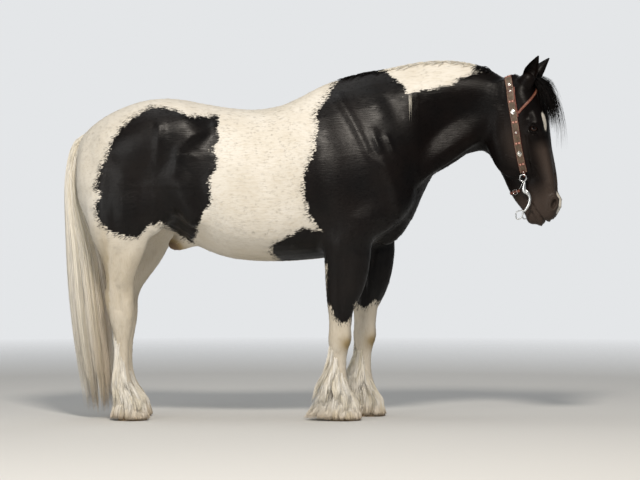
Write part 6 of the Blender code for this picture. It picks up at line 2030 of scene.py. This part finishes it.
def make_bit(left, steel):
    """Ring, swept shank with its domed boss, lower ring and curb hook, of one cheek of the bit."""
    side = SIDES[left]
    down, out, face = head_axes(left)

    def at(place, y=BIT_SIDE):
        return head_place((place[0], y, place[1]), left)

    centre = at(BIT_RING)
    course = [centre + (down * math.cos(a) + face * math.sin(a)) * BIT_RING_SIZE for a in turns(48)]
    ring_ = bar_along("ring", course, BIT_BAR, BIT_BAR, out, steel, closed=True)
    finish_piece(ring_, f"ring_{side}", "steel", f"bit_ring_{side}")
    t = np.linspace(0, 1, 44)
    wide = 0.005 + 0.0062 * hump(t - 0.38, 0.16) + 0.002 * hump(t - 0.75, 0.15)
    course = resampled([(*at(p),) for p in (BIT_SHANK_TOP, *BIT_SHANK)], len(t))
    shank = bar_along("shank", course, wide, BIT_BAR, out, steel)
    boss = dome("boss", at(BIT_BOSS, BIT_SIDE + 0.002), out, 0.0085, 0.0055, steel)
    finish_piece(joined("shank", [shank, boss]), f"shank_{side}", "steel", f"bit_shank_{side}")
    course = closed_course([(*at(p),) for p in BIT_EYE])
    loop = bar_along("loop", course, BIT_BAR, 0.0027, out, steel, closed=True)
    finish_piece(loop, f"rein_ring_{side}", "steel", f"bit_loop_{side}")
    hook = resampled([(*at(p, y),) for p, y in CURB_HOOK], 20)
    finish_piece(bar_along("hook", hook, 0.0016, 0.0016, out, steel, around=10), f"curb_hook_{side}", "steel")


def dome(name, centre, out, radius, height, material):
    """A round stud with a rolled edge."""
    first = out.orthogonal().normalized()
    second = out.cross(first)
    ways = [first * math.cos(a) + second * math.sin(a) for a in turns(28)]
    return dressed(closed_tube(name, [
        np.array([centre + way * radius * reach + out * height * rise for way in ways])
        for reach, rise in STUD_PROFILE
    ]), material)


def diamond(name, centre, out, along, half, height, material):
    """A four-sided silver plate with a raised middle."""
    across = out.cross(along).normalized()
    ways = []
    for a in turns(32):
        size = 1 / (abs(math.cos(a)) ** 1.25 + abs(math.sin(a)) ** 1.25) ** 0.8
        ways.append((along * half[0] * math.cos(a) + across * half[1] * math.sin(a)) * size)
    return dressed(closed_tube(name, [
        np.array([centre + way * reach + out * height * rise for way in ways])
        for reach, rise in PLATE_PROFILE
    ]), material, 40)


def on_strap(path, place, lift):
    """The place on a strap's face this far along it, with its outward and lengthwise directions."""
    points, outs, run = path
    point, before, after = (Vector(p) for p in rows_at([place, place - 0.004, place + 0.004], run, points))
    out = Vector(rows_at([place], run, outs)[0]).normalized()
    along = (after - before).normalized()
    return point + out * lift, out, (along - out * along.dot(out)).normalized()


def strap_seams(repeat, path, thread):
    """The two rows of stitches near a wide strap's edges."""
    points, outs, _ = path
    beside = np.cross(unit(np.gradient(points, axis=0)), outs) * (STRAP_WIDTH / 2 - SEAM_INSET)
    face = outs * (STRAP_FACE - 0.0001)
    return [stitched(repeat, points + beside * edge + face, outs, thread) for edge in (-1, 1)]


def end_loop(path, plain, silver):
    """The plain leather that folds round the ring at a cheek strap's end, and its screw."""
    end, out, along = on_strap(path, path[2][-1], STRAP_LIFT)
    hold = [end + along * a + out * b for a, b in END_LOOP]
    turned = -unit(np.cross(np.gradient(np.array(hold), axis=0), np.cross(along, out)))
    if turned[0] @ np.array(out) < 0:
        turned = -turned
    return [
        strap("end_loop", hold, turned, 0.0165, 0.0026, 0.0, plain, 0.003),
        dome("screw", end - along * 0.004 + out * 0.0088, out, 0.004, 0.0024, silver),
    ]


def make_cheek(skin, left, leathers, repeat):
    """A tooled cheek strap with its studs, plates, stitches and end loop, and a narrow strap beside it."""
    tooled, plain, silver, thread = leathers
    points, outs = cheek_path(skin, left)
    path = even_path(points, outs)
    pieces = [strap("cheek", points, outs, STRAP_WIDTH, STRAP_THICKNESS, STRAP_LIFT, tooled)]
    for k, place in enumerate(np.arange(FIRST_STUD, path[2][-1] - 0.01, MOTIF_PERIOD / 2)):
        centre, out, along = on_strap(path, place, STRAP_FACE)
        if k % 4 == 2:
            pieces.append(diamond("plate", centre, out, along, (0.0155, 0.012), 0.003, silver))
        elif k % 2 == 0:
            pieces.append(dome("stud", centre, out, 0.0062, 0.0036, silver))
    pieces += strap_seams(repeat, path, thread)
    narrow, narrow_outs = cheek_path(skin, left, 0.0225, 0.235)
    pieces.append(strap("ear_strap", narrow, narrow_outs, 0.0075, 0.004, STRAP_LIFT, plain))
    pieces += end_loop(path, plain, silver)
    side = SIDES[left]
    finish_piece(joined("cheek", pieces), f"cheek_strap_{side}", "leather", f"bridle_cheek_{side}")


def make_crown(skin, leathers, repeat):
    """The tooled strap over the poll."""
    tooled, _, silver, thread = leathers
    points, outs = crown_path(skin)
    path = even_path(points, outs)
    pieces = [strap("crown", points, outs, STRAP_WIDTH, STRAP_THICKNESS, STRAP_LIFT, tooled)]
    for place in np.linspace(0.02, path[2][-1] - 0.02, 4):
        centre, out, _ = on_strap(path, place, STRAP_FACE)
        pieces.append(dome("stud", centre, out, 0.0085, 0.0045, silver))
    pieces += strap_seams(repeat, path, thread)
    finish_piece(joined("crown", pieces), "crown_strap", "leather", "bridle_crown")


def make_browband(skin, leathers, repeat):
    """The plain browband, stitched along its middle."""
    points, outs = browband_path(skin)
    even, even_outs, _ = even_path(points, outs)
    band = strap("browband", points, outs, BROWBAND_WIDTH, THIN_STRAP, THIN_LIFT, leathers[1])
    seam = stitched(repeat, even + even_outs * (STRAP_LIFT + 0.003), even_outs, leathers[3])
    finish_piece(joined("browband", [band, seam]), "browband", "leather", "bridle_browband")


def make_curb(skin, leathers, steel):
    """The curb strap with a buckle near each end."""
    points, outs = curb_path(skin)
    path = even_path(points, outs)
    pieces = [strap("curb", points, outs, CURB_WIDTH, THIN_STRAP, THIN_LIFT, leathers[1])]
    for share in (0.16, 0.84):
        centre, out, along = on_strap(path, path[2][-1] * share, STRAP_LIFT + THIN_STRAP)
        across = out.cross(along)
        course = closed_course([(*(centre + along * a + across * b),) for a, b in BUCKLE])
        pieces.append(bar_along("buckle", course, 0.0014, 0.0014, out, steel, closed=True, around=10))
        tongue = [centre + along * a + out * 0.0008 for a in np.linspace(-0.012, 0.011, 6)]
        pieces.append(bar_along("tongue", tongue, 0.001, 0.001, out, steel, around=8))
    finish_piece(joined("curb", pieces), "curb", "leather", "curb_strap")


def floor_material():
    """Matt pale paint, which fades into the pale surroundings away from the horse."""
    material, tree, where = new_material("pale_floor")
    far = add(tree, VECTOR, {0: where}, operation="LENGTH")
    paint = add(tree, SHADER, {"Base Color": FLOOR_COLOUR, "Roughness": 0.9, "Specular IOR Level": 0.1})
    faded = add(tree, RANGE, {"Value": far, "From Min": FLOOR_FADE[0], "From Max": FLOOR_FADE[1]})
    both = add(tree, "ShaderNodeMixShader", {0: faded, 1: paint, 2: add(tree, "ShaderNodeBsdfTransparent")})
    add(tree, OUTPUT, {"Surface": both})
    return material


def make_stage():
    """A pale round floor."""
    mesh = bpy.data.meshes.new("floor")
    with edited(mesh) as shape:
        bmesh.ops.create_circle(shape, cap_ends=True, segments=128, radius=FLOOR_FADE[1] + 0.5)
    mesh.materials.append(floor_material())
    new_object("floor", mesh)


def aimed(obj, place, target):
    """Puts a lamp or camera at a place, looking at its target."""
    obj.location = place
    obj.rotation_euler = (Vector(target) - Vector(place)).to_track_quat("-Z", "Y").to_euler()


def make_lights():
    """Soft lamps like the photograph's light, high from the right and the camera's side, and a pale sky."""
    for name, place, target, size, power, colour in LIGHTS:
        light = bpy.data.lights.new(name, "AREA")
        light.shape = "DISK"
        light.size = size
        light.energy = power
        light.color = linear(colour)[:3]
        aimed(new_object(name, light), place, target)
    world = bpy.data.worlds.new("sky")
    world.use_nodes = True
    tree = world.node_tree
    lit = tree.nodes["Background"]
    lit.inputs["Color"].default_value = linear(SKY)
    lit.inputs["Strength"].default_value = SKY_STRENGTH
    seen = add(tree, "ShaderNodeBackground", {"Color": BACKDROP, "Strength": 1.0})
    rays = add(tree, "ShaderNodeLightPath")
    both = add(tree, "ShaderNodeMixShader", {0: rays, 1: lit, 2: seen})
    tree.links.new(both.outputs[0], tree.nodes["World Output"].inputs["Surface"])
    bpy.context.scene.world = world
    bpy.context.scene.view_settings.view_transform = "Standard"


def make_camera():
    """The photograph's view: far away, a little above the horse's elbow, over its right side."""
    data = bpy.data.cameras.new("camera")
    data.sensor_width = SENSOR
    data.lens = SENSOR * PIXEL_SCALE / FRAME_SIZE[0]
    obj = new_object("camera", data)
    aimed(obj, Vector(CAMERA_PLACE) + SHIFT, Vector(CAMERA_LOOKS_AT) + SHIFT)
    bpy.context.scene.camera = obj


def make_long_hair(tree):
    """Mane, forelock, tail, feather and lashes."""
    hair = long_hair_material()
    pieces = [
        (mane(tree), "mane", None, "black_coat", ()),
        (crest_hair(tree), "crest", None, "black_coat", ()),
        (forelock(), "forelock", None, "black_coat", ()),
        (tail(3, 0.72, 1.0), "tail_hair", -1.0, "tail_hair", ("tail",)),
        (tail(4, 0.36, 0.8), "tail_depth", -1.0, "tail_hair", ()),
    ]
    for left in (False, True):
        pieces.append((lashes(left), f"lashes_{SIDES[left]}", 1.0, "black_coat", ()))
        for hind in (False, True):
            name = f"feather_{ENDS[hind]}_{SIDES[left]}"
            pieces.append((feather(tree, hind, left), name, -1.0, "white_coat", ()))
    for strands, name, black, slot, nodes in pieces:
        obj = strands.object(name, hair, black)
        set_attribute(obj.data, "stain_and_shade", stains_and_shade(mesh_arrays(obj.data)[0]))
        finish_piece(obj, name, slot, *nodes)


def make_short_coat(points, faces, material):
    """Tufts over the whole skin, fore and hind, and more along the edges of the black."""
    for name, region, count, seed, edges in (
        ("coat_fore", lambda p: p[:, 0] > 0.1, TUFTS, 50, False),
        ("coat_hind", lambda p: p[:, 0] <= 0.1, TUFTS, 51, False),
        ("coat_edges", lambda p: np.ones(len(p)), EDGE_TUFTS, 52, True),
    ):
        strands, black = coat_tufts(points, faces, region, count, seed, edges)
        obj = strands.object(name, material, black, flat=True)
        roots = strands.paths[0][:, 0]
        mark_regions(obj.data, roots, len(obj.data.vertices) // len(roots))
        finish_piece(obj, name, "black_coat")


def make_bridle(tree):
    """Headstall, browband, curb strap and bit."""
    steel = metal_material(*STAINLESS_STEEL)
    silver = metal_material(*NICKEL_SILVER)
    leathers = (tooled_leather_material(), bridle_leather_material(), silver, thread_material())
    repeat = repeat_tree()
    for left in (False, True):
        make_cheek(tree, left, leathers, repeat)
    make_crown(tree, leathers, repeat)
    make_browband(tree, leathers, repeat)
    make_curb(tree, leathers, steel)
    for left in (False, True):
        make_bit(left, steel)


def main():
    """Makes everything: the skin first, which hair and bridle are laid on."""
    make_camera()
    make_lights()
    make_stage()
    skin = make_skin()
    points, _ = mesh_arrays(skin.data)
    faces = np.empty(len(skin.data.polygons) * 3, np.int32)
    skin.data.polygons.foreach_get("vertices", faces)
    faces = faces.reshape(-1, 3)
    tree = BVHTree.FromPolygons(points.tolist(), faces.tolist())
    make_long_hair(tree)
    make_short_coat(points, faces, skin.data.materials[0])
    make_bridle(tree)
    parts = ("ear", "foreleg", "hindleg", "lower_foreleg", "lower_hindleg")
    nodes = [f"{part}_{side}" for part in parts for side in SIDES[::-1]]
    finish_piece(skin, "skin", "black_coat", "torso", "neck", "head", *nodes)
    eye, horn = eye_material(), horn_material()
    for left in (False, True):
        make_eye(left, eye)
        for hind in (False, True):
            make_hoof(hind, left, horn)


SHIFT = world_shift()
TAIL_ROWS = smooth_rows(TAIL_COURSE, 4)
main()
bpy.context.view_layer.update()
